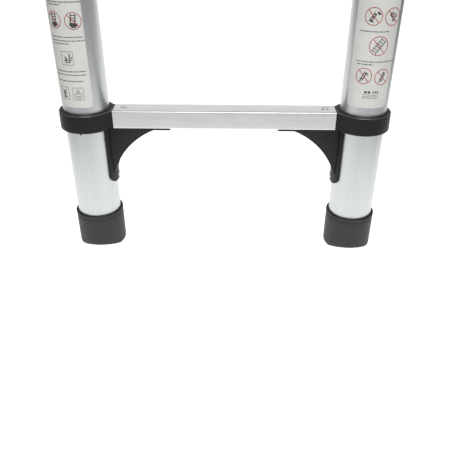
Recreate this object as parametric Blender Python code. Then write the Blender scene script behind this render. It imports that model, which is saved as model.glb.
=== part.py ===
"""Telescopic ladder: nested round rails, one rung on each stage, and a sprung thumb latch at each rung's ends.

Metres, +Z up, front towards -Y. The origin is on the floor, midway between the rails. The ladder stands closed:
the base rails carry the bottom rung and rung 2, and every further stage sits on the collars of the one below.
"""
from math import asin, cos, pi, radians, sin, sqrt

import bmesh
import bpy
from mathutils import Matrix, Vector

# Driving dimensions
RAIL_SPACING = 0.394          # between the two rails' centre lines
RUNGS = 6
BASE_RAIL_RADIUS = 0.0325
RAIL_WALL = 0.0012
RAIL_LENGTH = 0.36            # of the sliding rails
RUNG_PITCH = 0.290            # open
STACK_PITCH = 0.034           # closed
BOTTOM_RUNG_TOP = 0.2213
RUNG_DEPTH = 0.032            # front to back
RUNG_HEIGHT = 0.0259
RUNG_WALL = 0.0015
EDGE = 0.0012                 # chamfer along the rungs' corners
GAP = 0.0003                  # between neighbouring pieces
SLIDE_GAP = 0.00035           # between one rail and the next inside it
COLLAR_WALL = 0.0065
SIDES = 24                    # flats around the rails, one of them facing each of X and Y
FINE_SIDES = 8                # around pins, rivets and their holes

# Distances inward from a rail's centre line
BOTTOM_RUNG_INSET = 0.039
UPPER_RUNG_INSET = 0.072
SPIGOT_LENGTH = 0.020
FLARE_END = 0.038

# Rail ends
STAGES = RUNGS - 1
RAIL_STEP = RAIL_WALL + SLIDE_GAP
CONNECTOR_LIP = 0.003
CONNECTOR_HEIGHT = STACK_PITCH - GAP
RAIL_END_DROP = CONNECTOR_LIP + GAP

# Thumb latch
PIN_RADIUS = 0.0035
PIN_DROP = RUNG_HEIGHT / 2    # of the pin's axis below the rung's top
LOCK_TRAVEL = 0.0045          # from the rest pose out to the locked one
LATCH_TRAVEL = 0.008
POCKET_START = 0.0385
POCKET_END = 0.070
POCKET_FRONT_WALL = 0.002
POCKET_BACK = 0.006
POCKET_HALF_HEIGHT = 0.0065
SLIDER_LENGTH = 0.0115
BUTTON_OUTER_OVERHANG = 0.0033
BUTTON_INNER_OVERHANG = 0.0052
BUTTON_THICKNESS = 0.004
BUTTON_HALF_HEIGHT = 0.0085

# Latch spring
COIL_RADIUS = 0.0036
WIRE_RADIUS = 0.0005
COIL_TURNS = 4
COIL_STEPS = 8
WIRE_SIDES = 4

# Rubber foot
FOOT_HEIGHT = 0.059
FOOT_WALL = 0.0035
FOOT_FLOOR = 0.005
FOOT_LIP = 0.0040
FOOT_ROUND = 0.017            # height over which the side curves in to the sole
FOOT_SOLE_INSET = 0.0045      # of the sole's edge from the side
FOOT_FLAT_HALF = 0.016        # of the sole, front to back
FOOT_RISE = 0.0065            # of the sole at its front and back edges
TREAD_DEPTH = 0.0015
TREAD_WIDTH = 0.0030
TREAD_PITCH = 0.0105

# Gusset
GUSSET_PLATE = 0.002
GUSSET_LENGTH = 0.121
GUSSET_HALF_DEPTH = 0.0157
SADDLE_WALL = 0.0035
SADDLE_HALF_ANGLE = radians(36)
SADDLE_DROP = 0.1115          # from the rung's top to the tongue's tip
SADDLE_CORNER = 0.010
WEB_OUTSIDE = 0.0155           # of each web, from the mid plane
WEB_WALL = 0.0028
WEB_ROOT = 0.0315
WEB_RADIUS = 0.10776
WEB_LOW = (0.03395, 0.0970)    # inward, and down from the rung's top
WEB_HIGH = (0.08506, 0.0337)

# Rivets, caps and labels
RIVET_HEAD_RADIUS = 0.0033
RIVET_HEAD_HEIGHT = 0.0017
RIVET_SHANK_RADIUS = 0.0016
RIVET_HOLE_RADIUS = RIVET_SHANK_RADIUS + GAP
RIVET_DEPTH = 0.007
RUNG_RIVET_INSET = 0.054
TONGUE_RIVET_DROP = 0.104
CAP_OVERHANG = 0.0022         # beyond the outside of the rail
CAP_RISE = 0.0035
CAP_PLUG = 0.012
LABEL_THICKNESS = 0.0004
LABEL_LIFT = 0.010            # above the collar
LABEL_LENGTH = 0.220
LABEL_SPANS = {"left": (radians(-71), radians(33.5)), "right": (radians(-58), radians(46.5))}

# Worked out from the dimensions above
SLIDER_START = POCKET_START + LOCK_TRAVEL + GAP
SLIDER_END = SLIDER_START + SLIDER_LENGTH
WINDOW_END = SLIDER_END + LATCH_TRAVEL + GAP

SIDE_SIGNS = {"left": -1, "right": 1}
HALF_SPACING = RAIL_SPACING / 2


def rail_radius(stage):
    """Outer radius of a stage's rails; stage 1 is the base."""
    return BASE_RAIL_RADIUS - (stage - 1) * RAIL_STEP


def rung_top(number):
    """Height of a rung's tread with the ladder closed."""
    return BOTTOM_RUNG_TOP if number == 1 else BOTTOM_RUNG_TOP + RUNG_PITCH + (number - 2) * STACK_PITCH


def rail_end(stage):
    """Height of a stage's upper rail ends, under the lip of the connectors that they carry."""
    return rung_top(stage + 1) - RAIL_END_DROP


# Shapes. Each function returns a closed bmesh with its faces pointing out.

def finish(shape):
    bmesh.ops.recalc_face_normals(shape, faces=shape.faces)
    return shape


def prism(outline, axis, low, high):
    """A flat outline pushed along an axis. Its points are (y, z), (x, z) or (x, y) across X, Y or Z."""
    shape = bmesh.new()
    place = {"X": lambda a, b, t: (t, a, b), "Y": lambda a, b, t: (a, t, b), "Z": lambda a, b, t: (a, b, t)}[axis]
    ends = [[shape.verts.new(place(a, b, t)) for a, b in outline] for t in (low, high)]
    for ring in ends:
        shape.faces.new(ring)
    for i in range(len(outline)):
        j = (i + 1) % len(outline)
        shape.faces.new((ends[0][i], ends[0][j], ends[1][j], ends[1][i]))
    return finish(shape)


def block(x, y, z):
    """A box between pairs of limits."""
    return prism([(x[0], y[0]), (x[1], y[0]), (x[1], y[1]), (x[0], y[1])], "Z", *z)


def facet_radius(radius, angle, sides=SIDES):
    """Distance to a polygon drawn around a circle, with a flat centred on angle 0."""
    step = 2 * pi / sides
    return radius / cos((angle + step / 2) % step - step / 2)


def turned(profile, sides=SIDES, closed=False):
    """A profile of (radius, height) turned about Z. A closed one makes a ring, and an open one ends on the axis."""
    shape = bmesh.new()
    angles = [(i + 0.5) * 2 * pi / sides for i in range(sides)]
    rings = []
    for radius, height in profile:
        if radius == 0:
            rings.append([shape.verts.new((0, 0, height))] * sides)
            continue
        reach = radius / cos(pi / sides)
        rings.append([shape.verts.new((reach * cos(a), reach * sin(a), height)) for a in angles])
    pairs = list(zip(rings, rings[1:])) + ([(rings[-1], rings[0])] if closed else [])
    for lower, upper in pairs:
        for i in range(sides):
            j = (i + 1) % sides
            corners = (lower[i], lower[j], upper[j], upper[i])
            shape.faces.new(list(dict.fromkeys(corners)))
    return finish(shape)


def rod(radius, start, end, axis="Z", sides=FINE_SIDES):
    """A round bar along an axis through the origin."""
    shape = turned([(0, start), (radius, start), (radius, end), (0, end)], sides)
    if axis != "Z":
        turn = Matrix.Rotation(pi / 2, 4, "Y") if axis == "X" else Matrix.Rotation(-pi / 2, 4, "X")
        shape.transform(turn)
    return shape


def moved(shape, x=0.0, y=0.0, z=0.0):
    bmesh.ops.translate(shape, verts=shape.verts, vec=(x, y, z))
    return shape


def combine(operation, body, *tools):
    """Join tools to a solid ('UNION'), cut them out of it ('DIFFERENCE') or keep what they share ('INTERSECT')."""
    for tool in tools:
        pair = []
        for shape in (body, tool):
            mesh = bpy.data.meshes.new("work")
            shape.to_mesh(mesh)
            shape.free()
            pair.append(bpy.data.objects.new("work", mesh))
            bpy.context.scene.collection.objects.link(pair[-1])
        modifier = pair[0].modifiers.new("combine", "BOOLEAN")
        modifier.operation = operation
        modifier.solver = "EXACT"
        modifier.object = pair[1]
        bpy.context.view_layer.update()
        result = pair[0].evaluated_get(bpy.context.evaluated_depsgraph_get()).to_mesh()
        body = bmesh.new()
        body.from_mesh(result)
        for item in pair:
            mesh = item.data
            bpy.data.objects.remove(item)
            bpy.data.meshes.remove(mesh)
        bmesh.ops.dissolve_limit(body, angle_limit=radians(0.5), verts=body.verts, edges=body.edges)
    return body


def at_side(shape, side, z=0.0):
    """A copy, drawn about a rail's centre line with +X inward, at the left or the right rail."""
    copy = shape.copy()
    sign = SIDE_SIGNS[side]
    if sign > 0:
        copy.transform(Matrix.Diagonal((-1, 1, 1, 1)))
        bmesh.ops.reverse_faces(copy, faces=copy.faces)
    return moved(copy, x=sign * HALF_SPACING, z=z)


# Scene objects

def make_material(name, colour, roughness, metallic=0.0):
    material = bpy.data.materials.new(name)
    material.use_nodes = True
    shader = material.node_tree.nodes["Principled BSDF"]
    shader.inputs["Base Color"].default_value = (*colour, 1)
    shader.inputs["Roughness"].default_value = roughness
    shader.inputs["Metallic"].default_value = metallic
    return material


def make_empty(name, position, parent=None):
    empty = bpy.data.objects.new(name, None)
    empty.empty_display_size = 0.03
    bpy.context.scene.collection.objects.link(empty)
    empty.parent = parent
    empty.location = Vector(position) - Vector(parent["place"] if parent else (0, 0, 0))
    empty["place"] = Vector(position)
    return empty


def add_part(name, shape, material, parent, origin=None):
    """Make the object for a shape that is drawn in place, with its origin on its joint's axis."""
    origin = Vector(origin if origin else parent["place"])
    moved(shape, *(-origin))
    mesh = bpy.data.meshes.new(name)
    shape.to_mesh(mesh)
    shape.free()
    mesh.materials.append(material)
    mesh.shade_smooth()
    mesh.set_sharp_from_angle(angle=radians(30))
    part = bpy.data.objects.new(name, mesh)
    bpy.context.scene.collection.objects.link(part)
    part.parent = parent
    part.location = origin - Vector(parent["place"])
    return part


# Pieces, each drawn about its own rail's centre line with +X towards the middle of the ladder

def rail(stage, low, high):
    """A round tube, with the holes that lock pins pass through."""
    outer = rail_radius(stage)
    inner = outer - RAIL_WALL
    shape = turned([(outer, low), (outer, high), (inner, high), (inner, low)], closed=True)
    if stage < STAGES:
        guide_hole = rung_top(stage + 1) - PIN_DROP
        shape = combine("DIFFERENCE", shape, pin_cutter(guide_hole))
    if stage > 1:
        lock_hole = rung_top(stage) - PIN_DROP - (RUNG_PITCH - STACK_PITCH)
        shape = combine("DIFFERENCE", shape, pin_cutter(lock_hole))
    return shape


def pin_cutter(height):
    return moved(rod(PIN_RADIUS + GAP, 0.010, FLARE_END + 0.004, "X"), z=height)


def rung_section(grow=0.0):
    """Outline of the rung profile, as (y, z) below the tread, taken in or out by a given amount."""
    half, low, high = RUNG_DEPTH / 2 + grow, -RUNG_HEIGHT - grow, grow
    corners = [(-half, low), (half, low), (half, high), (-half, high)]
    outline = []
    for index, (y, z) in enumerate(corners):
        toward = 1 if y < 0 else -1
        rise = 1 if z < -RUNG_HEIGHT / 2 else -1
        bevel = [(y, z + rise * EDGE), (y + toward * EDGE, z)]
        outline += bevel if index % 2 == 0 else bevel[::-1]
    return outline


def rung(inset, top):
    """A hollow profile between the two connectors, open at its ends."""
    reach = HALF_SPACING - inset - GAP
    shape = bmesh.new()
    loops = []
    for x in (-reach, reach):
        for grow in (0.0, -RUNG_WALL):
            loops.append([shape.verts.new((x, y, z + top)) for y, z in rung_section(grow)])
    for first, second in ((0, 1), (0, 2), (1, 3), (2, 3)):
        for i in range(len(loops[0])):
            j = (i + 1) % len(loops[0])
            shape.faces.new((loops[first][i], loops[first][j], loops[second][j], loops[second][i]))
    return finish(shape)


def neck(collar_radius, rung_inset):
    """The flared neck between a collar and its rung, and the spigot inside the rung, below z = 0."""
    half = RUNG_DEPTH / 2
    flare = max(half, 0.6 * collar_radius)
    root = collar_radius * 0.5
    flare_start = sqrt(collar_radius ** 2 - flare ** 2) if flare > half else root + 0.002
    plan = [(root, -flare), (flare_start, -flare), (FLARE_END, -half), (rung_inset, -half)]
    plan += [(x, -y) for x, y in reversed(plan)]
    body = prism(plan, "Z", -RUNG_HEIGHT, 0.0)
    spigot = prism(rung_section(-RUNG_WALL - GAP), "X", rung_inset - 0.001, rung_inset + SPIGOT_LENGTH)
    return combine("UNION", body, spigot)


def bottom_collar():
    """The ring that the base rail passes through, with its neck to the bottom rung."""
    outer = BASE_RAIL_RADIUS + COLLAR_WALL
    shape = turned([(0, -RUNG_HEIGHT), (outer, -RUNG_HEIGHT), (outer, 0), (0, 0)])
    shape = combine("UNION", shape, neck(outer, BOTTOM_RUNG_INSET))
    bore = rod(BASE_RAIL_RADIUS + GAP, -RUNG_HEIGHT - 0.001, 0.001, sides=SIDES)
    rivet_bores = [moved(rod(RIVET_HOLE_RADIUS, low, high), x=RUNG_RIVET_INSET)
                   for low, high in ((-RUNG_WALL - RIVET_DEPTH, 0.0), (-RUNG_HEIGHT, -RUNG_HEIGHT + RIVET_DEPTH))]
    return combine("DIFFERENCE", shape, bore, *rivet_bores)


def connector(stage):
    """The moulding on a stage's rail end: ring, lip over the rail, block for the latch, and spigot."""
    radius = rail_radius(stage)
    outer = radius + COLLAR_WALL
    shape = turned([(0, -CONNECTOR_HEIGHT), (outer, -CONNECTOR_HEIGHT), (outer, 0), (0, 0)])
    shape = combine("UNION", shape, neck(outer, UPPER_RUNG_INSET))
    last = stage == STAGES
    inner = radius - RAIL_WALL - GAP if last else rail_radius(stage + 1) + GAP
    bore = turned([(0, -CONNECTOR_HEIGHT - 0.001), (radius + GAP, -CONNECTOR_HEIGHT - 0.001),
                   (radius + GAP, -CONNECTOR_LIP), (inner, -CONNECTOR_LIP), (inner, 0.001), (0, 0.001)])
    shape = combine("DIFFERENCE", shape, bore)
    if last:
        return shape
    height = (-PIN_DROP - POCKET_HALF_HEIGHT, -PIN_DROP + POCKET_HALF_HEIGHT)
    front = -RUNG_DEPTH / 2
    pocket = block((POCKET_START, POCKET_END), (front + POCKET_FRONT_WALL, POCKET_BACK), height)
    window = block((POCKET_START, WINDOW_END), (front - 0.001, front + POCKET_FRONT_WALL + 0.001), height)
    return combine("DIFFERENCE", shape, combine("UNION", pocket, window), pin_cutter(-PIN_DROP))


def latch(stage):
    """A thumb slide with its lock pin, whose tip stands just off the rail that slides inside the connector."""
    front = -RUNG_DEPTH / 2 - GAP
    slider = block((SLIDER_START, SLIDER_END), (front - BUTTON_THICKNESS / 2, POCKET_BACK - GAP),
                   (-POCKET_HALF_HEIGHT + GAP, POCKET_HALF_HEIGHT - GAP))
    chamfer = BUTTON_THICKNESS / 2
    face = front - BUTTON_THICKNESS
    start, end = SLIDER_START - BUTTON_OUTER_OVERHANG, SLIDER_END + BUTTON_INNER_OVERHANG
    button = prism([(start, front), (end, front), (end, face + chamfer), (end - chamfer, face),
                    (start + chamfer, face), (start, face + chamfer)], "Z", -BUTTON_HALF_HEIGHT, BUTTON_HALF_HEIGHT)
    pin = rod(PIN_RADIUS, rail_radius(stage + 1) + GAP, SLIDER_START + 0.002, "X")
    return combine("UNION", slider, button, pin)


def latch_spring():
    """A coil spring between the slider and the pocket's inner end."""
    start = SLIDER_END + GAP + WIRE_RADIUS
    end = POCKET_END - GAP - WIRE_RADIUS
    steps = COIL_TURNS * COIL_STEPS
    shape = bmesh.new()
    rings = []
    for i in range(steps + 1):
        angle = 2 * pi * i / COIL_STEPS
        x = start + (end - start) * i / steps
        outward = Vector((0, cos(angle), sin(angle)))
        ring = []
        for j in range(WIRE_SIDES):
            turn = 2 * pi * j / WIRE_SIDES
            offset = outward * (WIRE_RADIUS * cos(turn)) + Vector((WIRE_RADIUS * sin(turn), 0, 0))
            ring.append(shape.verts.new(Vector((x, 0, 0)) + outward * COIL_RADIUS + offset))
        rings.append(ring)
    for first, second in zip(rings, rings[1:]):
        for j in range(WIRE_SIDES):
            k = (j + 1) % WIRE_SIDES
            shape.faces.new((first[j], first[k], second[k], second[j]))
    shape.faces.new(rings[0])
    shape.faces.new(rings[-1])
    return finish(shape)


def foot():
    """A rubber boot with a lip at its rim, a rocker sole and tread grooves across it."""
    bore = BASE_RAIL_RADIUS + GAP
    rim = bore + FOOT_WALL
    side = rim - 0.0003
    low = side - FOOT_SOLE_INSET
    curve = [(low + FOOT_SOLE_INSET * sin(t), FOOT_ROUND * (1 - cos(t))) for t in (pi / 2, pi / 3, pi / 6, 0)]
    shape = turned([(0, FOOT_FLOOR), (bore, FOOT_FLOOR), (bore, FOOT_HEIGHT), (rim, FOOT_HEIGHT),
                    (rim, FOOT_HEIGHT - FOOT_LIP), (side - 0.0003, FOOT_HEIGHT - 1.5 * FOOT_LIP)] + curve + [(0, 0)])
    reach = rim + 0.005
    slope = FOOT_RISE / (low - FOOT_FLAT_HALF)
    drop = -0.001
    lift = slope * (reach - FOOT_FLAT_HALF)
    for sign in (-1, 1):
        wedge = [(sign * FOOT_FLAT_HALF, drop), (sign * reach, drop), (sign * reach, lift),
                 (sign * FOOT_FLAT_HALF, 0)]
        shape = combine("DIFFERENCE", shape, prism(wedge, "X", -reach, reach))
    for index in (-2, -1, 0, 1, 2):
        y = index * TREAD_PITCH
        base = max(0.0, slope * (abs(y) - FOOT_FLAT_HALF))
        groove = block((-reach, reach), (y - TREAD_WIDTH / 2, y + TREAD_WIDTH / 2), (drop, base + TREAD_DEPTH))
        shape = combine("DIFFERENCE", shape, groove)
    return shape


def web_arc(steps=9):
    """Points along the gusset's hollow edge, from the tongue up to the plate, as (inward, height)."""
    low, high = Vector((WEB_LOW[0], -WEB_LOW[1])), Vector((WEB_HIGH[0], -WEB_HIGH[1]))
    chord = high - low
    middle = (low + high) / 2
    side = Vector((chord.y, -chord.x)).normalized()
    centre = middle + side * sqrt(WEB_RADIUS ** 2 - (chord.length / 2) ** 2)
    plate_bottom = -RUNG_HEIGHT - GAP - GUSSET_PLATE
    start = pi - asin((low.y - centre.y) / WEB_RADIUS)
    end = pi - asin((plate_bottom + 0.0004 - centre.y) / WEB_RADIUS)
    turns = [start + (end - start) * i / steps for i in range(steps + 1)]
    return [(centre.x + WEB_RADIUS * cos(t), centre.y + WEB_RADIUS * sin(t)) for t in turns]


def gusset():
    """A bracket under the rung: plate, two webs with a hollow edge, and a saddle with a round tongue on the rail."""
    top = -RUNG_HEIGHT - GAP
    inner = BASE_RAIL_RADIUS + GAP
    outer = inner + SADDLE_WALL
    corner = pi / SIDES
    turns = [-SADDLE_HALF_ANGLE, -3 * corner, -corner, corner, 3 * corner, SADDLE_HALF_ANGLE]
    plan = [(facet_radius(inner, t) * cos(t), facet_radius(inner, t) * sin(t)) for t in turns]
    plan += [(facet_radius(outer, t) * cos(t), facet_radius(outer, t) * sin(t)) for t in reversed(turns)]
    saddle = prism(plan, "Z", -SADDLE_DROP - 0.001, top)
    half = outer * sin(SADDLE_HALF_ANGLE) + 0.0005
    tongue = [(-half, top + 0.001), (half, top + 0.001)]
    for sign, start in ((1, 0.0), (-1, -pi / 2)):
        for i in range(5):
            t = start - i * pi / 8
            tongue.append((sign * (half - SADDLE_CORNER) + SADDLE_CORNER * cos(t),
                           -SADDLE_DROP + SADDLE_CORNER + SADDLE_CORNER * sin(t)))
    saddle = combine("INTERSECT", saddle, prism(tongue, "X", 0, 2 * outer))
    end_taper = 0.004
    plate = prism([(outer - 0.0015, -GUSSET_HALF_DEPTH), (GUSSET_LENGTH - end_taper, -GUSSET_HALF_DEPTH),
                   (GUSSET_LENGTH, -GUSSET_HALF_DEPTH + end_taper), (GUSSET_LENGTH, GUSSET_HALF_DEPTH - end_taper),
                   (GUSSET_LENGTH - end_taper, GUSSET_HALF_DEPTH), (outer - 0.0015, GUSSET_HALF_DEPTH)],
                  "Z", top - GUSSET_PLATE, top)
    web_top = top - GUSSET_PLATE / 2
    arc = web_arc()
    side = [(WEB_ROOT, web_top), (WEB_ROOT, arc[0][1] - 0.001)] + arc + [(arc[-1][0], web_top)]
    webs = [prism(side, "Y", low, low + WEB_WALL) for low in (-WEB_OUTSIDE, WEB_OUTSIDE - WEB_WALL)]
    shape = combine("UNION", saddle, plate, *webs)
    tongue_hole = moved(rod(RIVET_HOLE_RADIUS, 0.02, outer + 0.01, "X"), z=-TONGUE_RIVET_DROP)
    return combine("DIFFERENCE", shape, tongue_hole)


def rivet(depth):
    """A domed rivet standing on z = 0, its shank going down."""
    head = [(RIVET_HEAD_RADIUS * cos(t), RIVET_HEAD_HEIGHT * sin(t)) for t in (0, pi / 6, pi / 3)]
    profile = [(0, -depth), (RIVET_SHANK_RADIUS, -depth), (RIVET_SHANK_RADIUS, 0)] + head
    return turned(profile + [(0, RIVET_HEAD_HEIGHT)], FINE_SIDES)


def top_cap():
    plug = rail_radius(STAGES) - RAIL_WALL - GAP - GAP
    brim = rail_radius(STAGES) + CAP_OVERHANG
    return turned([(0, -CAP_PLUG), (plug, -CAP_PLUG), (plug, GAP), (brim, GAP),
                   (brim, GAP + CAP_RISE / 2), (brim - 0.002, GAP + CAP_RISE), (0, GAP + CAP_RISE)])


def label(span):
    """A thin skin on the front of a rail, between two angles measured from the front towards +X."""
    corner = 2 * pi / SIDES
    first, last = span
    turns = [first] + [t for t in ((i + 0.5) * corner for i in range(-SIDES, SIDES)) if first < t < last] + [last]
    inner = BASE_RAIL_RADIUS + GAP
    rings = [(inner, turns), (inner + LABEL_THICKNESS, turns[::-1])]
    plan = [(facet_radius(radius, t) * sin(t), -facet_radius(radius, t) * cos(t)) for radius, ts in rings for t in ts]
    low = BOTTOM_RUNG_TOP + LABEL_LIFT
    return prism(plan, "Z", low, low + LABEL_LENGTH)


for item in list(bpy.data.objects):
    bpy.data.objects.remove(item)

rail_alloy = make_material("rail_alloy", (0.56, 0.57, 0.57), 0.34, 1.0)
rung_alloy = make_material("rung_alloy", (0.62, 0.63, 0.62), 0.40, 1.0)
black_moulding = make_material("black_moulding", (0.028, 0.031, 0.033), 0.42)
foot_rubber = make_material("foot_rubber", (0.055, 0.058, 0.062), 0.75)
label_film = make_material("label_film", (0.80, 0.80, 0.76), 0.45)
rivet_metal = make_material("rivet_metal", (0.70, 0.70, 0.70), 0.30, 1.0)
latch_plastic = make_material("latch_plastic", (0.045, 0.047, 0.050), 0.35)
spring_steel = make_material("spring_steel", (0.52, 0.52, 0.54), 0.30, 1.0)
cap_plastic = make_material("cap_plastic", (0.030, 0.032, 0.034), 0.40)

# Base: feet, base rails, and the bottom rung with its collars, gussets and rivets
base = make_empty("base", (0, 0, 0))
boot, collar, bracket = foot(), bottom_collar(), gusset()
base_rail = rail(1, FOOT_FLOOR + GAP, rail_end(1))
base_rail = combine("DIFFERENCE", base_rail,
                    moved(rod(RIVET_HOLE_RADIUS, 0.02, 0.045, "X"), z=BOTTOM_RUNG_TOP - TONGUE_RIVET_DROP))
for side in SIDE_SIGNS:
    add_part("foot_" + side, at_side(boot, side), foot_rubber, base)
    add_part("rail_1_" + side, at_side(base_rail, side), rail_alloy, base)
    add_part("bottom_collar_" + side, at_side(collar, side, BOTTOM_RUNG_TOP), black_moulding, base)
    add_part("gusset_" + side, at_side(bracket, side, BOTTOM_RUNG_TOP), black_moulding, base)
    skin = moved(label(LABEL_SPANS[side]), x=SIDE_SIGNS[side] * HALF_SPACING)
    add_part("label_" + side, skin, label_film, base)

bottom_rung = rung(BOTTOM_RUNG_INSET, BOTTOM_RUNG_TOP)
for sign in SIDE_SIGNS.values():
    hole = rod(RIVET_HOLE_RADIUS, BOTTOM_RUNG_TOP - 0.004, BOTTOM_RUNG_TOP + 0.001)
    bottom_rung = combine("DIFFERENCE", bottom_rung, moved(hole, x=sign * (HALF_SPACING - RUNG_RIVET_INSET)))
add_part("bottom_rung", bottom_rung, rung_alloy, base)

tread_rivet = moved(rivet(RIVET_DEPTH), x=RUNG_RIVET_INSET, z=GAP)
tongue_rivet = rivet(SADDLE_WALL + GAP + RAIL_WALL)
tongue_rivet.transform(Matrix.Rotation(pi / 2, 4, "Y"))
moved(tongue_rivet, x=BASE_RAIL_RADIUS + GAP + SADDLE_WALL + GAP, z=-TONGUE_RIVET_DROP)
for side in SIDE_SIGNS:
    add_part("tread_rivet_" + side, at_side(tread_rivet, side, BOTTOM_RUNG_TOP), rivet_metal, base)
    add_part("gusset_rivet_" + side, at_side(tongue_rivet, side, BOTTOM_RUNG_TOP), rivet_metal, base)

# Stages: each carries the rung above it, and that rung's latches hold the next stage
carrier = base
for stage in range(1, STAGES + 1):
    number = stage + 1
    top = rung_top(number)
    axis_height = top - PIN_DROP
    last = stage == STAGES
    if stage > 1:
        carrier = make_empty(f"stage_{stage}", (0, 0, top), carrier)
        tube = rail(stage, rail_end(stage) - RAIL_LENGTH, rail_end(stage))
    add_part(f"rung_{number}", rung(UPPER_RUNG_INSET, top), rung_alloy, carrier)
    moulding = connector(stage)
    for side, sign in SIDE_SIGNS.items():
        if stage > 1:
            add_part(f"rail_{stage}_{side}", at_side(tube, side), rail_alloy, carrier)
        add_part(f"connector_{number}_{side}", at_side(moulding, side, top), black_moulding, carrier)
        if last:
            add_part(f"top_cap_{side}", at_side(top_cap(), side, top), cap_plastic, carrier)
            continue
        origin = (sign * (HALF_SPACING - SLIDER_START), 0, axis_height)
        add_part(f"latch_{number}_{side}", at_side(latch(stage), side, axis_height), latch_plastic, carrier, origin)
        add_part(f"latch_spring_{number}_{side}", at_side(latch_spring(), side, axis_height), spring_steel, carrier)
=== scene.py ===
"""Telescopic ladder, closed: nested satin tubes, black moulded collars, extruded rungs and rubber boots."""
from math import asin, atan2, cos, hypot, pi, radians, sin, sqrt

import bmesh
import bpy
from mathutils import Matrix, Vector


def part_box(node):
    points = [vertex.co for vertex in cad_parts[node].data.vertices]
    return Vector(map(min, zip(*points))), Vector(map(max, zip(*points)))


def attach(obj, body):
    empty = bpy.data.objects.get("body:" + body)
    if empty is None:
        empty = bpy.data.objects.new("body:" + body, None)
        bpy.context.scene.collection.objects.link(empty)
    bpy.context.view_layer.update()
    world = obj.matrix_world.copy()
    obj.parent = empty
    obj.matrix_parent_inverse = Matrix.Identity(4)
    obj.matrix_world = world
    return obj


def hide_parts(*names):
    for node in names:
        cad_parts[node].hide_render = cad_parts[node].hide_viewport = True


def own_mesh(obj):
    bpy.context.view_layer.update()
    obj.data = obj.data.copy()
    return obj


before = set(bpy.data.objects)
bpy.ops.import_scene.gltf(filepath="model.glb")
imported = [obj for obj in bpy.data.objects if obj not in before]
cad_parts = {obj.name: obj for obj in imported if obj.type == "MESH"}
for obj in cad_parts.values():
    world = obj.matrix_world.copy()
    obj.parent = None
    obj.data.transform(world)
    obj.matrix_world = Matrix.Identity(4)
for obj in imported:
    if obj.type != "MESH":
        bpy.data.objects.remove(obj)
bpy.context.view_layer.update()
scene = bpy.context.scene

# Camera

CAMERA_LENS = 44.19
CAMERA_PLACE = (0.0179, -0.7557, 0.4943)
CAMERA_PITCH = radians(31.80)
CAMERA_TURN = radians(1.262)


def set_camera():
    data = bpy.data.cameras.new("front_camera")
    data.lens = CAMERA_LENS
    data.sensor_width = 36.0
    data.clip_start = 0.01
    camera = bpy.data.objects.new("front_camera", data)
    scene.collection.objects.link(camera)
    turn = Matrix.Rotation(CAMERA_TURN, 4, "Z") @ Matrix.Rotation(pi / 2 - CAMERA_PITCH, 4, "X")
    camera.matrix_world = Matrix.Translation(CAMERA_PLACE) @ turn
    scene.camera = camera


set_camera()

# Sizes, in metres. Heights of a rung's own pieces are measured from its tread.

SIDES = {"left": -1, "right": 1}      # and the sign of X there
HALF_SPACING = (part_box("rail_1_right")[0].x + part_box("rail_1_right")[1].x) / 2
RUNGS = 6
STAGES = RUNGS - 1
RUNG_TOPS = [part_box("bottom_rung")[1].z] + [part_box(f"rung_{n}")[1].z for n in range(2, RUNGS + 1)]
RUNG_DEPTH = 0.032
RUNG_HEIGHT = 0.0259
RUNG_WALL = 0.0015
RUNG_CORNER = 0.0016
RUNG_CORNER_STEPS = 5
RUNG_FLAT_MARGIN = 0.0004     # keeps the shading of the rung's flats even up to its corners
RUNG_SAW_EASE = 0.0003
TREAD_GROOVES = 9
TREAD_GROOVE_PITCH = 0.0028
TREAD_GROOVE_HALF = 0.16 * TREAD_GROOVE_PITCH
TREAD_GROOVE_DEPTH = 0.00022
GAP = 0.0003                  # between pieces that slide or fit in each other
RAIL_WALL = 0.0012
RAIL_EASE = 0.0003
RAIL_HOLE_MARGIN = 0.006      # from a lock hole's middle to the rings of points on either side of it
STAGE_TRAVEL = 0.256          # from closed to open
COLLAR_WALL = 0.0065
COLLAR_DRAFT = 0.0004
COLLAR_ROUND = 0.0019         # of the top rim
COLLAR_LOW_ROUND = 0.0016
COLLAR_RING_MARGIN = 0.0008   # keeps the shading of the collar's side even up to its rims
BORE_EASE = 0.0004
GATE_TURN = radians(3.9)      # of the gate's stub round the collar, outward from the front
GATE_INSET = 0.0016
BOTTOM_REACH = 0.039          # of the bottom collar's neck, inward from the rail's centre line
UPPER_REACH = 0.072           # of an upper collar's neck
SPIGOT_LENGTH = 0.020
SPIGOT_EASE = 0.0008
FLARE_START = 0.6             # half width where the flare leaves the ring, as a share of the ring's radius
FLARE_CURVE = 0.45            # share of the flare's line that bends; the rest is straight
FLARE_STEPS = 9
FLARE_END = 0.038
NECK_STEP = 0.003
NECK_ROUND = 0.0008
RING_STEPS = 78
CONNECTOR_HEIGHT = 0.0337
CONNECTOR_LIP = 0.003
PIN_RADIUS = 0.0035
PIN_DROP = RUNG_HEIGHT / 2
POCKET = (0.0385, 0.070)
POCKET_FRONT_WALL = 0.002
POCKET_BACK = 0.006
POCKET_HALF_HEIGHT = 0.0065
SLIDER = (0.0433, 0.0548)
LATCH_TRAVEL = 0.008
BUTTON = (0.0400, 0.0600)
BUTTON_THICKNESS = 0.004
BUTTON_HALF_HEIGHT = 0.0085
BUTTON_CORNER = 0.0030
GRIP_RIBS = 5
GRIP_RIB_START = 0.0046
GRIP_RIB_PITCH = 0.0027
GRIP_RIB_RADIUS = 0.00055
GRIP_RIB_LENGTH = 0.0125
SPRING_END_GAP = 0.0005
SADDLE_WALL = 0.0035
SADDLE_HALF_ANGLE = radians(36)
SADDLE_DROP = 0.1115
SADDLE_CORNER = 0.010         # of the tongue's tip
SADDLE_EDGE = 0.0007
SADDLE_ROWS = 44
SADDLE_COLUMNS = 20
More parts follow.
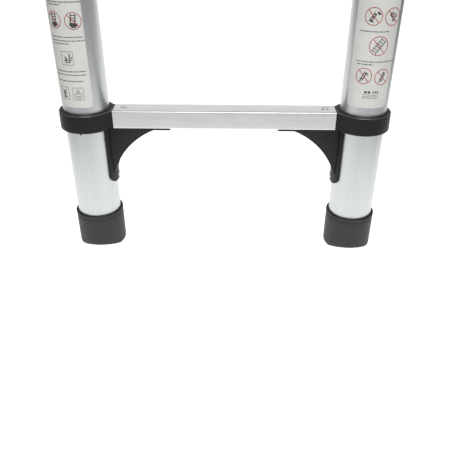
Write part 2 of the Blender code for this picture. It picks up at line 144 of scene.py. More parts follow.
SADDLE_STRAIGHT = 0.6         # share of the rows that lie above the tongue's round tip
GUSSET_LENGTH = 0.121
GUSSET_HALF_DEPTH = 0.0157
GUSSET_PLATE = 0.002
GUSSET_CORNER = 0.0045
GUSSET_CORNER_STEPS = 6
GUSSET_EDGE = 0.0005
WEB_OUTSIDE = 0.0155          # of each web, from the mid plane
WEB_WALL = 0.0028
WEB_ROOT = 0.0315
WEB_RADIUS = 0.10776          # of its hollow edge, which runs through the next two places
WEB_LOW = (0.03395, -0.0970)  # inward from the rail, and above the tread
WEB_HIGH = (0.08506, -0.0337)
WEB_STEPS = 48
FOOT_HEIGHT = 0.059
FOOT_WALL = 0.0035
FOOT_FLOOR = 0.005
FOOT_BEAD = 0.0042            # height of the bead at the rim
FOOT_BEAD_ROUND = 0.0014
FOOT_DRAFT = 0.0003
FOOT_FLAT_HALF = 0.016        # of the sole's flat middle, from front to back
FOOT_RISE = 0.0065            # of the sole at the front and the back
FOOT_RISE_FADE = 0.024        # height at which the wall no longer follows the sole's rise
FOOT_ROUND = 0.0055
FOOT_SOLE_INSET = 0.0030
POLE_RADIUS = 0.0006          # of the small flat that closes a turned piece's middle
SOLE_GROOVES = 5
SOLE_GROOVE = (0.0030, 0.0015)
SOLE_GROOVE_PITCH = 0.0105
PIN_POINT = 0.0006            # chamfer of a lock pin's end
PIN_ROOT = 0.002              # of the pin's other end, inside the slider
LABEL_SPANS = {"left": (radians(-71), radians(33.5)), "right": (radians(-58), radians(46.5))}
LABEL_LIFTS = {"left": 0.0105, "right": 0.0130}       # of the lower edge, above the bottom tread
LABEL_TOP = 0.230
LABEL_CORNER = 0.0055
LABEL_CLEARANCE = 0.00005
LABEL_FILM = 0.00016
PRINT_ROOT = 0.00012          # lift of every print's underside, inside the film
PRINT_HEIGHT = 0.00003        # of the last colour, above the film
PRINT_STEP = 0.00002          # between the colours, so that crossing marks don't flicker
RUNG_RIVET_INSET = 0.054
TONGUE_RIVET_DROP = 0.104
TONGUE_HOLE_RADIUS = 0.0019
CAP_BRIM = 0.0022             # past the rail's outside
CAP_RISE = 0.0035
ROUND = 96                    # flats around a rail
SHARP_ANGLE = radians(38)     # edges that turn more than this stay crisp
OVERRUN = 0.001               # by which a cutter or a joined shape runs past a face


def rail_radius(stage):
    low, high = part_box(f"rail_{stage}_right")
    return (high.x - low.x) / 2


BASE_BORE = rail_radius(1) + GAP
COLLAR_RADIUS = rail_radius(1) + COLLAR_WALL

# Studio

FLOOR_GAIN = 1.12             # brightness of the glowing floor, as a share of white
FLOOR_BRIGHT = 1.0
FLOOR_DIM = 0.16
FLOOR_BRIGHT_AT = -0.33
FLOOR_DIM_AT = -0.66
FLOOR_BRIGHT_HALF = 0.45      # half width level with the ladder; FLOOR_SPREAD widens it behind
FLOOR_DIM_HALF = 0.98
FLOOR_SPREAD = 0.38
WORLD_GREY = 0.22
BACK_POWER = 14.5
FRONT_POWER = 27.0


# Node trees written as expressions

class Wire:
    """One output of a node. Arithmetic on it adds Math nodes to its sheet."""

    def __init__(self, sheet, socket):
        self.sheet = sheet
        self.socket = socket

    def math(self, operation, *others):
        return self.sheet.math(operation, self, *others)

    def other(self, name):
        return Wire(self.sheet, self.socket.node.outputs[name])

    def __add__(self, other):
        return self.math("ADD", other)

    def __radd__(self, other):
        return self.sheet.math("ADD", other, self)

    def __sub__(self, other):
        return self.math("SUBTRACT", other)

    def __rsub__(self, other):
        return self.sheet.math("SUBTRACT", other, self)

    def __mul__(self, other):
        return self.math("MULTIPLY", other)

    def __rmul__(self, other):
        return self.sheet.math("MULTIPLY", other, self)

    def __truediv__(self, other):
        return self.math("DIVIDE", other)

    def __pow__(self, other):
        return self.math("POWER", other)

    def step(self, low, high):
        """0 below low, 1 above high, and a soft rise between."""
        values = {"Value": self, "From Min": low, "From Max": high}
        return self.sheet.node("ShaderNodeMapRange", {"interpolation_type": "SMOOTHSTEP"}, values)


class Sheet:
    """A node tree that is being drawn up."""

    def __init__(self, tree):
        self.tree = tree

    def node(self, kind, settings=None, values=None, output=0):
        made = self.tree.nodes.new(kind)
        for key, value in (settings or {}).items():
            setattr(made, key, value)
        for key, value in (values or {}).items():
            if isinstance(value, Wire):
                self.tree.links.new(value.socket, made.inputs[key])
            else:
                made.inputs[key].default_value = value
        return Wire(self, made.outputs[output]) if made.outputs else made

    def math(self, operation, *terms):
        return self.node("ShaderNodeMath", {"operation": operation}, dict(enumerate(terms)))

    def axis(self, vector, name):
        return self.node("ShaderNodeSeparateXYZ", None, {0: vector}, output=name)

    def vector(self, values):
        return self.node("ShaderNodeCombineXYZ", None, values)

    def mix(self, factor, first, second):
        """Blend two colours."""
        values = {0: factor, 6: first, 7: second}
        return self.node("ShaderNodeMix", {"data_type": "RGBA"}, values, output=2)


class Finish(Sheet):
    """A material, drawn on coordinates that are fixed to the piece."""

    def __init__(self, name):
        self.material = bpy.data.materials.new(name)
        self.material.use_nodes = True
        super().__init__(self.material.node_tree)
        self.shader = self.tree.nodes["Principled BSDF"]
        self.place = self.node("ShaderNodeTexCoord", output="Object")

    def stretched(self, scale, offset=(0.0, 0.0, 0.0)):
        values = {"Vector": self.place, "Scale": scale, "Location": offset}
        return self.node("ShaderNodeMapping", None, values)

    def noise(self, scale, detail=3.0, roughness=0.5, vector=None):
        values = {"Vector": vector or self.place, "Scale": scale, "Detail": detail, "Roughness": roughness}
        return self.node("ShaderNodeTexNoise", None, values)

    def height(self):
        return self.axis(self.place, "Z")

    def bump(self, relief, depth, strength=1.0):
        values = {"Height": relief, "Distance": depth, "Strength": strength}
        return self.node("ShaderNodeBump", None, values)

    def shade(self, **inputs):
        for name, value in inputs.items():
            socket = self.shader.inputs[name.replace("_", " ").title().replace("Ior", "IOR")]
            if isinstance(value, Wire):
                self.tree.links.new(value.socket, socket)
            else:
                socket.default_value = value
        return self.material


def rgb(red, green, blue):
    return (red, green, blue, 1.0)


def drawn_alloy(name, along, light, dark, smooth, rough):
    """Satin aluminium with fine die lines along one axis, soft clouding and a few handling scratches."""
    finish = Finish(name)
    lines_scale = tuple(5.0 if axis == along else 1500.0 for axis in "XYZ")
    wide_scale = tuple(2.5 if axis == along else 240.0 for axis in "XYZ")
    scratch_scale = tuple(34.0 if axis == along else 900.0 for axis in "XYZ")
    lines = finish.noise(1.0, 3.0, 0.6, finish.stretched(lines_scale))
    wide = finish.noise(1.0, 2.0, 0.5, finish.stretched(wide_scale))
    clouds = finish.noise(26.0, 3.0, 0.55)
    scratches = finish.noise(1.0, 1.0, 0.4, finish.stretched(scratch_scale, (3.0, 7.0, 1.0))).step(0.66, 0.74)
    tone = (0.45 * lines + 0.35 * wide + 0.3 * clouds).step(0.35, 0.75)
    colour = finish.mix(tone, dark, light)
    colour = finish.mix(0.25 * scratches, colour, rgb(0.78, 0.79, 0.80))
    roughness = smooth + (rough - smooth) * (0.6 * clouds + 0.4 * wide) - 0.04 * scratches
    relief = finish.bump(0.7 * lines + 0.3 * wide - 0.2 * scratches, 0.00002, 0.3)
    return finish.shade(base_color=colour, roughness=roughness, metallic=1.0, normal=relief)


def black_moulding():
    """Glass-filled nylon from a spark-eroded mould: flow marks, dull scuffs and a painted highlight on the
    rounded upper edges.
    """
    finish = Finish("black_moulding")
    spark = finish.noise(1900.0, 2.0, 0.6)
    flow = finish.noise(1.0, 3.0, 0.5, finish.stretched((60.0, 60.0, 18.0)))
    scuffs = finish.noise(230.0, 4.0, 0.7).step(0.58, 0.72)
    colour = finish.mix(flow, rgb(0.0075, 0.0090, 0.0100), rgb(0.012, 0.014, 0.015))
    colour = finish.mix(0.30 * scuffs, colour, rgb(0.026, 0.029, 0.031))
    upward = finish.axis(finish.node("ShaderNodeTexCoord", output="Normal"), "Z")
    # Painted highlight: rounded edges that face partly upward get a paler colour, a glossier coat and less
    # roughness.
    rim = upward.step(0.20, 0.50) * (1.0 - upward.step(0.90, 0.99))
    colour = finish.mix(rim * (0.5 + 0.4 * flow), colour, rgb(0.105, 0.110, 0.114))
    roughness = 0.40 + 0.10 * flow + 0.10 * scuffs - 0.12 * rim
    relief = finish.bump(0.8 * spark + 0.2 * scuffs, 0.00005, 0.4)
    return finish.shade(base_color=colour, roughness=roughness, specular_ior_level=0.26,
                        coat_weight=0.8 * rim, coat_roughness=0.22, normal=relief)


def dusty_rubber():
    """Moulded rubber with a pale bloom, heavier towards the sole, and small nicks."""
    finish = Finish("dusty_rubber")
    grain = finish.noise(1300.0, 3.0, 0.65)
    bloom = finish.noise(38.0, 5.0, 0.62)
    nicks = finish.noise(330.0, 2.0, 0.6).step(0.67, 0.74)
    low = 1.0 - finish.height().step(0.0, 0.030)
    dust = (0.75 * bloom + 0.14 * low - 0.1).step(0.25, 0.85)
    colour = finish.mix(dust, rgb(0.017, 0.0195, 0.0205), rgb(0.037, 0.040, 0.041))
    colour = finish.mix(0.5 * nicks, colour, rgb(0.09, 0.09, 0.088))
    roughness = 0.56 + 0.22 * dust
    relief = finish.bump(0.7 * grain + 0.3 * bloom - 0.4 * nicks, 0.00010, 0.6)
    return finish.shade(base_color=colour, roughness=roughness, normal=relief)


def label_vinyl():
    """Off-white vinyl with a slight orange peel, yellowed and greyed a little in patches."""
    finish = Finish("label_vinyl")
    peel = finish.noise(900.0, 2.0, 0.5)
    patches = finish.noise(30.0, 4.0, 0.6)
    specks = finish.noise(1500.0, 1.0, 0.5).step(0.72, 0.80)
    colour = finish.mix(patches.step(0.3, 0.75), rgb(0.68, 0.685, 0.645), rgb(0.74, 0.745, 0.71))
    colour = finish.mix(0.4 * specks, colour, rgb(0.42, 0.42, 0.40))
    roughness = 0.36 + 0.14 * patches
    relief = finish.bump(peel, 0.00004, 0.35)
    return finish.shade(base_color=colour, roughness=roughness, normal=relief)


def ink(name, colour, paler):
    """Screen-printed ink, slightly broken where the screen has not wetted the film."""
    finish = Finish(name)
    wetting = finish.noise(1600.0, 2.0, 0.6)
    wear = finish.noise(160.0, 3.0, 0.6)
    tone = (0.6 * wetting + 0.4 * wear).step(0.42, 0.72)
    blended = finish.mix(0.7 * tone, colour, paler)
    relief = finish.bump(wetting, 0.00002, 0.3)
    return finish.shade(base_color=blended, roughness=0.42 + 0.12 * wear, normal=relief)


def bright_metal(name, light, dark, smooth, grain_scale):
    """Cold-headed or drawn metal with small pits and a worn sheen."""
    finish = Finish(name)
    grain = finish.noise(grain_scale, 3.0, 0.6)
    pits = finish.noise(grain_scale * 0.35, 2.0, 0.5).step(0.62, 0.75)
    colour = finish.mix(grain.step(0.3, 0.7), dark, light)
    colour = finish.mix(0.4 * pits, colour, rgb(0.24, 0.24, 0.24))
    relief = finish.bump(0.6 * grain - 0.5 * pits, 0.00005, 0.5)
    roughness = smooth + 0.16 * grain + 0.1 * pits
    return finish.shade(base_color=colour, roughness=roughness, metallic=1.0, normal=relief)


def smooth_plastic(name, light, dark, smooth):
    """Moulded plastic that hands have polished in places."""
    finish = Finish(name)
    texture = finish.noise(1500.0, 2.0, 0.55)
    polish = finish.noise(95.0, 3.0, 0.55)
    marks = finish.noise(520.0, 2.0, 0.6).step(0.64, 0.74)
    colour = finish.mix(polish, dark, light)
    colour = finish.mix(0.3 * marks, colour, rgb(0.10, 0.104, 0.108))
    relief = finish.bump(0.8 * texture - 0.3 * marks, 0.00006, 0.45)
    return finish.shade(base_color=colour, roughness=smooth + 0.16 * polish, normal=relief)


def floor_paint():
    """White floor with a painted pool of light: it glows around the ladder and falls off towards the front.
    """
    finish = Finish("floor_paint")
    mottle = finish.noise(3.0, 4.0, 0.6)
    colour = finish.mix(mottle, rgb(0.30, 0.30, 0.30), rgb(0.32, 0.32, 0.32))
    along = finish.axis(finish.place, "Y")
    across = along.other("X").math("ABSOLUTE") - FLOOR_SPREAD * along
    # Painted pool of light: the floor's own glow is full round the ladder and fades towards the front and the
    # sides.
    glow = along.step(FLOOR_DIM_AT, FLOOR_BRIGHT_AT) * (1.0 - across.step(FLOOR_BRIGHT_HALF, FLOOR_DIM_HALF))
    light = FLOOR_DIM + (FLOOR_BRIGHT - FLOOR_DIM) * glow
    shine = finish.mix(light, rgb(0.0, 0.0, 0.0), rgb(1.0, 1.0, 1.0))
    return finish.shade(base_color=colour, roughness=0.85, emission_color=shine, emission_strength=FLOOR_GAIN,
                        normal=finish.bump(mottle, 0.0005, 0.1))


RAIL_ALLOY = drawn_alloy("rail_alloy", "Z", rgb(0.62, 0.635, 0.64), rgb(0.57, 0.585, 0.59), 0.33, 0.44)
RUNG_ALLOY = drawn_alloy("rung_alloy", "X", rgb(0.80, 0.81, 0.81), rgb(0.70, 0.71, 0.715), 0.26, 0.38)
MOULDING = black_moulding()
RUBBER = dusty_rubber()
VINYL = label_vinyl()
RED_INK = ink("red_ink", rgb(0.40, 0.035, 0.030), rgb(0.46, 0.10, 0.085))
GREEN_INK = ink("green_ink", rgb(0.17, 0.28, 0.18), rgb(0.34, 0.42, 0.33))
DARK_INK = ink("dark_ink", rgb(0.035, 0.035, 0.038), rgb(0.12, 0.12, 0.12))
GREY_INK = ink("grey_ink", rgb(0.17, 0.17, 0.17), rgb(0.30, 0.30, 0.29))
RIVET_METAL = bright_metal("rivet_metal", rgb(0.78, 0.78, 0.78), rgb(0.60, 0.60, 0.60), 0.20, 1100.0)
PIN_STEEL = bright_metal("pin_steel", rgb(0.62, 0.62, 0.63), rgb(0.46, 0.46, 0.47), 0.18, 1500.0)
SPRING_WIRE = bright_metal("spring_wire", rgb(0.56, 0.56, 0.58), rgb(0.38, 0.38, 0.40), 0.22, 2200.0)
LATCH_PLASTIC = smooth_plastic("latch_plastic", rgb(0.060, 0.062, 0.066), rgb(0.038, 0.040, 0.043), 0.26)
CAP_PLASTIC = smooth_plastic("cap_plastic", rgb(0.042, 0.044, 0.047), rgb(0.026, 0.028, 0.030), 0.32)


# Shapes. Each function returns a bmesh with its faces pointing out.

def finished(shape):
    bmesh.ops.remove_doubles(shape, verts=shape.verts, dist=1e-7)
    bmesh.ops.recalc_face_normals(shape, faces=shape.faces)
    return shape


def loft(rings, closed=False):
    """Skin between rings of as many points each; a closed one joins its last ring to its first."""
    shape = bmesh.new()
    rows = [[shape.verts.new(point) for point in ring] for ring in rings]
    pairs = list(zip(rows, rows[1:])) + ([(rows[-1], rows[0])] if closed else [])
    count = len(rows[0])
    for lower, upper in pairs:
        for i in range(count):
            j = (i + 1) % count
            shape.faces.new((lower[i], lower[j], upper[j], upper[i]))
    if not closed:
        shape.faces.new(rows[0])
        shape.faces.new(rows[-1])
    return finished(shape)


def prism(outline, axis, low, high, edge=0.0):
    """A flat outline pushed along an axis, with its end edges eased by a given amount."""
    places = {"X": lambda a, b, t: (t, a, b), "Y": lambda a, b, t: (a, t, b), "Z": lambda a, b, t: (a, b, t)}
    layers = [(0.0, low), (0.0, high)]
    if edge:
        layers = [(edge, low), (edge * 0.3, low + edge * 0.3), (0.0, low + edge), (0.0, low + edge * 2)]
        layers += [(0.0, high - edge * 2), (0.0, high - edge), (edge * 0.3, high - edge * 0.3), (edge, high)]
    return loft([[places[axis](a, b, t) for a, b in inset(outline, amount)] for amount, t in layers])


def block(x, y, z):
    return prism([(x[0], y[0]), (x[1], y[0]), (x[1], y[1]), (x[0], y[1])], "Z", *z)


def inset(outline, amount):
    """Take a closed outline in by a given amount, along its own corners."""
    if not amount:
        return list(outline)
    count = len(outline)
    area = sum(outline[i - 1][0] * outline[i][1] - outline[i][0] * outline[i - 1][1] for i in range(count))
    turn = 1 if area > 0 else -1
    moved_in = []
    for i in range(count):
        here = Vector(outline[i])
        before = (here - Vector(outline[i - 1])).normalized()
        after = (Vector(outline[(i + 1) % count]) - here).normalized()
        normals = [Vector((-edge.y, edge.x)) * turn for edge in (before, after)]
        middle = (normals[0] + normals[1]).normalized()
        moved_in.append(tuple(here + middle * (amount / max(0.5, middle.dot(normals[0])))))
    return moved_in


def rounded(corners, radius, steps=4, margin=0.0):
    """An anticlockwise outline with its corners rounded; a margin adds a point beside each end of a round."""
    outline = []
    for i, corner in enumerate(corners):
        here = Vector(corner)
        back = (Vector(corners[i - 1]) - here).normalized()
        ahead = (Vector(corners[(i + 1) % len(corners)]) - here).normalized()
        half = back.angle(ahead) / 2
        run = radius / (sin(half) / cos(half))
        centre = here + (back + ahead).normalized() * (radius / sin(half))
        start = here + back * run
        end = here + ahead * run
        first = (start - centre).angle_signed(Vector((1, 0)))
        sweep = (end - centre).angle_signed(start - centre)
        if margin:
            outline.append(tuple(start + back * margin))
        for k in range(steps + 1):
            turn = first + sweep * k / steps
            outline.append((centre.x + radius * cos(turn), centre.y + radius * sin(turn)))
        if margin:
            outline.append(tuple(end + ahead * margin))
    return outline


def circle(radius, height, sides=ROUND, turns=None):
    turns = turns or [2 * pi * i / sides for i in range(sides)]
    return [(radius * cos(t), radius * sin(t), height) for t in turns]


def turned(profile, sides=ROUND, closed=False):
    """A profile of (radius, height) turned about Z; an open one is capped at both ends."""
    return loft([circle(radius, height, sides) for radius, height in profile], closed)


def rod(radius, start, end, axis="Z", sides=32, edge=0.0):
    profile = [(radius - edge, start), (radius, start + edge), (radius, end - edge), (radius - edge, end)]
    shape = turned(profile if edge else profile[1:3], sides)
    if axis != "Z":
        shape.transform(Matrix.Rotation(pi / 2, 4, "Y" if axis == "X" else "X"))
    return finished(shape)


def moved(shape, x=0.0, y=0.0, z=0.0):
    bmesh.ops.translate(shape, verts=shape.verts, vec=(x, y, z))
    return shape


def together(*shapes):
    """Put several closed shapes in one mesh."""
    whole = bmesh.new()
    for shape in shapes:
        mesh = bpy.data.meshes.new("work")
        shape.to_mesh(mesh)
        shape.free()
        whole.from_mesh(mesh)
        bpy.data.meshes.remove(mesh)
    return whole


def cut(body, *tools):
    """Cut each tool out of a solid."""
    for tool in tools:
        pair = []
        for shape in (body, tool):
            mesh = bpy.data.meshes.new("work")
            shape.to_mesh(mesh)
            shape.free()
            pair.append(bpy.data.objects.new("work", mesh))
            scene.collection.objects.link(pair[-1])
        modifier = pair[0].modifiers.new("cut", "BOOLEAN")
        modifier.operation = "DIFFERENCE"
        modifier.solver = "EXACT"
        modifier.object = pair[1]
        result = pair[0].evaluated_get(bpy.context.evaluated_depsgraph_get()).to_mesh()
        body = bmesh.new()
        body.from_mesh(result)
        for item in pair:
            mesh = item.data
            bpy.data.objects.remove(item)
            bpy.data.meshes.remove(mesh)
    return body


def at_side(shape, side, z=0.0):
    """A copy, drawn about a rail's centre line with +X inward, at the left or the right rail."""
    copy = shape.copy()
    sign = SIDES[side]
    if sign > 0:
        copy.transform(Matrix.Diagonal((-1, 1, 1, 1)))
        bmesh.ops.reverse_faces(copy, faces=copy.faces)
    return moved(copy, x=sign * HALF_SPACING, z=z)


def piece(name, shape, materials, body, slot, *nodes):
    """Make the object for a shape, and set it in the frame."""
    if isinstance(shape, bpy.types.Mesh):
        mesh = shape
    else:
        mesh = bpy.data.meshes.new(name)
        shape.to_mesh(mesh)
        shape.free()
    mesh.name = name
    mesh.materials.clear()
    for material in materials if isinstance(materials, (list, tuple)) else [materials]:
        mesh.materials.append(material)
    mesh.shade_smooth()
    mesh.set_sharp_from_angle(angle=SHARP_ANGLE)
    made = bpy.data.objects.new(name, mesh)
    scene.collection.objects.link(made)
    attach(made, body)
    if nodes:
        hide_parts(*nodes)
    return made


# Geometry trees

def geometry_sheet(name, sizes):
    """Start a geometry tree with named inputs, and return its sheet and the wires of those inputs."""
    tree = bpy.data.node_groups.new(name, "GeometryNodeTree")
    tree.interface.new_socket(name="Geometry", in_out="INPUT", socket_type="NodeSocketGeometry")
    kinds = {float: "NodeSocketFloat", int: "NodeSocketInt", tuple: "NodeSocketVector"}
    for label, value in sizes.items():
        if isinstance(value, bpy.types.Material):
            socket = tree.interface.new_socket(name=label, in_out="INPUT", socket_type="NodeSocketMaterial")
        else:
            socket = tree.interface.new_socket(name=label, in_out="INPUT", socket_type=kinds[type(value)])
        socket.default_value = value
    tree.interface.new_socket(name="Geometry", in_out="OUTPUT", socket_type="NodeSocketGeometry")
    sheet = Sheet(tree)
    entry = sheet.node("NodeGroupInput")
    return sheet, {label: entry.other(label) for label in ("Geometry", *sizes)}


def close_sheet(sheet, geometry, material):
    """End a tree in real geometry with its material on it."""
    real = sheet.node("GeometryNodeRealizeInstances", None, {"Geometry": geometry})
    painted = sheet.node("GeometryNodeSetMaterial", None, {"Geometry": real, "Material": material})
    sheet.node("NodeGroupOutput", None, {"Geometry": painted})
    return sheet.tree


def swept(sheet, path, sides, radius):
    """A round section taken along a path, with its ends closed."""
    section = sheet.node("GeometryNodeCurvePrimitiveCircle", None, {"Resolution": sides, "Radius": radius})
    values = {"Curve": path, "Profile Curve": section, "Fill Caps": True}
    return sheet.node("GeometryNodeCurveToMesh", None, values)


def grown(tree, shape=None, **sizes):
    """Run a geometry tree on a bmesh, a mesh or nothing, and return the plain mesh that it makes."""
    mesh = shape if isinstance(shape, bpy.types.Mesh) else bpy.data.meshes.new("work")
    if isinstance(shape, bmesh.types.BMesh):
        shape.to_mesh(mesh)
        shape.free()
    item = bpy.data.objects.new("work", mesh)
    scene.collection.objects.link(item)
    modifier = item.modifiers.new("grow", "NODES")
    modifier.node_group = tree
    for socket in tree.interface.items_tree:
        label = socket.name.replace(" ", "_").lower()
        if socket.in_out == "INPUT" and label in sizes:
            modifier[socket.identifier] = sizes[label]
    item.update_tag()
    graph = bpy.context.evaluated_depsgraph_get()
    made = bpy.data.meshes.new_from_object(item.evaluated_get(graph), depsgraph=graph)
    item.modifiers.remove(modifier)
    bpy.data.objects.remove(item)
    bpy.data.meshes.remove(mesh)
    return made


def wrap_tree():
    """Wrap a flat drawing, laid out as (round the tube, lift, height), on a tube's front."""
    sheet, size = geometry_sheet("wrap_on_tube", {"Radius": 0.0325, "Centre": 0.0, "Ink": VINYL})
    around = sheet.axis(sheet.node("GeometryNodeInputPosition"), "X")
    turn = around / size["Radius"]
    reach = size["Radius"] + around.other("Y")
    wrapped = sheet.vector({0: size["Centre"] + reach * turn.math("SINE"),
                            1: -1.0 * reach * turn.math("COSINE"), 2: around.other("Z")})
    skin = sheet.node("GeometryNodeSetPosition", None, {"Geometry": size["Geometry"], "Position": wrapped})
    return close_sheet(sheet, skin, size["Ink"])


def rivet_tree():
    """Set a domed rivet on every point, its head facing along the point's own direction."""
    sizes = {"Head Radius": 0.0045, "Head Height": 0.0017, "Rim": 0.0004, "Shank Radius": 0.0016,
             "Shank Length": 0.006, "Metal": RIVET_METAL}
    sheet, size = geometry_sheet("domed_rivets", sizes)
    head = sheet.node("GeometryNodeMeshCylinder", {"fill_type": "TRIANGLE_FAN"},
                      {"Vertices": 40, "Side Segments": 1, "Fill Segments": 9, "Radius": size["Head Radius"],
                       "Depth": size["Rim"]})
    across = sheet.axis(sheet.node("GeometryNodeInputPosition"), "X")
    radius = (across * across + across.other("Y") * across.other("Y")).math("SQRT")
    fall = (1.0 - (radius / size["Head Radius"]) ** 2.0).math("MAXIMUM", 0.0).math("SQRT")
    upper = across.other("Z").math("GREATER_THAN", 0.0)
    rise = (size["Head Height"] - size["Rim"]) * fall * upper + size["Rim"] / 2.0
    domed = sheet.node("GeometryNodeSetPosition", None, {"Geometry": head, "Offset": sheet.vector({2: rise})})
    shank = sheet.node("GeometryNodeMeshCylinder", {"fill_type": "NGON"},
                       {"Vertices": 24, "Radius": size["Shank Radius"], "Depth": size["Shank Length"]})
    drop = sheet.vector({2: size["Shank Length"] * -0.5 + 0.0001})
    sunk = sheet.node("GeometryNodeTransform", None, {"Geometry": shank, "Translation": drop})
    rivet = sheet.node("GeometryNodeJoinGeometry", None, {"Geometry": domed})
    sheet.tree.links.new(sunk.socket, rivet.socket.node.inputs["Geometry"])
    facing = sheet.node("GeometryNodeInputNamedAttribute", {"data_type": "FLOAT_VECTOR"}, {"Name": "facing"})
    turn = sheet.node("FunctionNodeAlignRotationToVector", {"axis": "Z"}, {"Vector": facing})
    set_in = sheet.node("GeometryNodeInstanceOnPoints", None,
                        {"Points": size["Geometry"], "Instance": rivet, "Rotation": turn})
    return close_sheet(sheet, set_in, size["Metal"])


def thumb_rib_tree():
    """A row of raised grip ribs across a button's face."""
    sizes = {"Start": (0.0, 0.0, 0.0), "Step": (0.0022, 0.0, 0.0), "Count": 6, "Rib Radius": 0.0005,
             "Rib Length": 0.012, "Plastic": LATCH_PLASTIC}
    sheet, size = geometry_sheet("thumb_ribs", sizes)
    row = sheet.node("GeometryNodeMeshLine", {"mode": "OFFSET"},
                     {"Count": size["Count"], "Start Location": size["Start"], "Offset": size["Step"]})
    path = sheet.node("GeometryNodeCurvePrimitiveLine", None, {"Start": (0, 0, 0), "End": (0, 0, 1)})
    dense = sheet.node("GeometryNodeResampleCurve", None, {"Curve": path, "Count": 15})
    along = sheet.node("GeometryNodeSplineParameter", None, None, output="Factor")
    swell = (1.0 - (along * 2.0 - 1.0).math("ABSOLUTE") ** 8.0).math("MAXIMUM", 0.0).math("SQRT")
    laid = sheet.vector({2: (along - 0.5) * size["Rib Length"]})
    bar = sheet.node("GeometryNodeSetPosition", None, {"Geometry": dense, "Position": laid})
    fat = sheet.node("GeometryNodeSetCurveRadius", None, {"Curve": bar, "Radius": swell})
    rib = swept(sheet, fat, 12, size["Rib Radius"])
    ribs = sheet.node("GeometryNodeInstanceOnPoints", None, {"Points": row, "Instance": rib})
    return close_sheet(sheet, ribs, size["Plastic"])


def coil_tree():
    """A coil spring along X, starting at a given point."""
    sizes = {"Start": (0.0, 0.0, 0.0), "Length": 0.0144, "Turns": 5.0, "Coil Radius": 0.0036,
             "Wire Radius": 0.0005, "Wire": SPRING_WIRE}
    sheet, size = geometry_sheet("coil_spring", sizes)
    spiral = sheet.node("GeometryNodeCurveSpiral", None,
                        {"Resolution": 28, "Rotations": size["Turns"], "Start Radius": size["Coil Radius"],
                         "End Radius": size["Coil Radius"], "Height": size["Length"]})
    wire = swept(sheet, spiral, 8, size["Wire Radius"])
    laid = sheet.node("GeometryNodeTransform", None,
                      {"Geometry": wire, "Rotation": (0.0, pi / 2, 0.0), "Translation": size["Start"]})
    return close_sheet(sheet, laid, size["Wire"])


WRAP = wrap_tree()
RIVETS = rivet_tree()
THUMB_RIBS = thumb_rib_tree()
COIL = coil_tree()


# Pieces, each drawn about its own rail's centre line with +X towards the middle of the ladder

def pin_cutter(height):
    """The lock pin's hole, from inside the rail to inside the latch's pocket."""
    return moved(rod(PIN_RADIUS + GAP, 0.010, FLARE_END + 0.004, "X"), z=height)


def rail(stage):
    """A drawn tube with eased cut ends and the round holes for the lock pins."""
    low, high = (corner.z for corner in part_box(f"rail_{stage}_right"))
    outer = rail_radius(stage)
    inner = outer - RAIL_WALL
    ease = RAIL_EASE
    holes = []
    if stage < STAGES:
        holes.append(RUNG_TOPS[stage] - PIN_DROP)
    if stage > 1:
        holes.append(RUNG_TOPS[stage - 1] - PIN_DROP - STAGE_TRAVEL)
    beside = {hole + sign * RAIL_HOLE_MARGIN for hole in holes for sign in SIDES.values()}
    levels = sorted(z for z in beside if low + OVERRUN < z < high - OVERRUN)
    profile = [(inner + ease, low), (outer - ease, low), (outer, low + ease)] + [(outer, z) for z in levels]
    profile += [(outer, high - ease), (outer - ease, high), (inner + ease, high), (inner, high - ease)]
    profile += [(inner, z) for z in reversed(levels)] + [(inner, low + ease)]
    return cut(turned(profile, closed=True), *[pin_cutter(hole) for hole in holes])


def neck_plan(ring_radius, reach):
    """Outline of a collar from above: ring, hollow flare and neck, from the back flare's start."""
    half = RUNG_DEPTH / 2
    flare = max(half, FLARE_START * ring_radius)
    start = Vector((sqrt(ring_radius ** 2 - flare ** 2), flare))
    side = []
    for i in range(1, FLARE_STEPS):
        t = i / FLARE_STEPS
        drop = t * t * (3 - 2 * t) * FLARE_CURVE + t * (1 - FLARE_CURVE)
        side.append((start.x + (FLARE_END - start.x) * t, start.y + (half - start.y) * drop))
    side.append((FLARE_END, half))
    straight = reach - NECK_ROUND
    corner = half
    if straight - FLARE_END > NECK_STEP:
        corner -= NECK_ROUND
        count = int((straight - FLARE_END) / NECK_STEP)
        side += [(FLARE_END + (straight - FLARE_END) * i / count, half) for i in range(1, count + 1)]
        rounds = [pi / 6 * k for k in (1, 2, 3)]
        side += [(straight + NECK_ROUND * sin(t), half - NECK_ROUND * (1 - cos(t))) for t in rounds]
    else:
        side.append((reach, half))
    side += [(reach, corner * (1 - i / 5)) for i in range(1, 5)]
    first = atan2(start.y, start.x)
    turns = [first + (2 * pi - 2 * first) * i / RING_STEPS for i in range(RING_STEPS + 1)]
    ring = [(ring_radius * cos(t), ring_radius * sin(t)) for t in turns]
    return ring + [(x, -y) for x, y in side] + [(reach, 0.0)] + side[::-1]


def collar_body(ring_radius, reach, height, bore):
    """Loft a collar's plan with a slight draft and rounded rims, round a bore of (radius, height) steps."""
    plan = neck_plan(ring_radius, reach)
    turns = [atan2(y, x) for x, y in plan]
    low, high = COLLAR_LOW_ROUND, COLLAR_ROUND
    layers = [(low * (1 - sin(t)), -height + low * (1 - cos(t))) for t in (0, pi / 6, pi / 3, pi / 2)]
    layers += [(COLLAR_DRAFT * 0.05, -height + low + COLLAR_RING_MARGIN),
               (COLLAR_DRAFT * 0.93, -high - COLLAR_RING_MARGIN)]
    layers += [(COLLAR_DRAFT + high * (1 - cos(pi / 8 * k)), high * (sin(pi / 8 * k) - 1)) for k in range(5)]
    layers += [(COLLAR_DRAFT + high + 0.0004, 0.0)]
    rings = [[(x, y, z) for x, y in inset(plan, amount)] for amount, z in layers]
    rings += [circle(radius, z, turns=turns) for radius, z in bore]
    return loft(rings, closed=True)


def spigot(reach):
    """The plug that a neck pushes into a rung."""
    section = inset(rung_outline(grooved=False), RUNG_WALL + GAP)
    return prism(section, "X", reach - OVERRUN, reach + SPIGOT_LENGTH, SPIGOT_EASE)


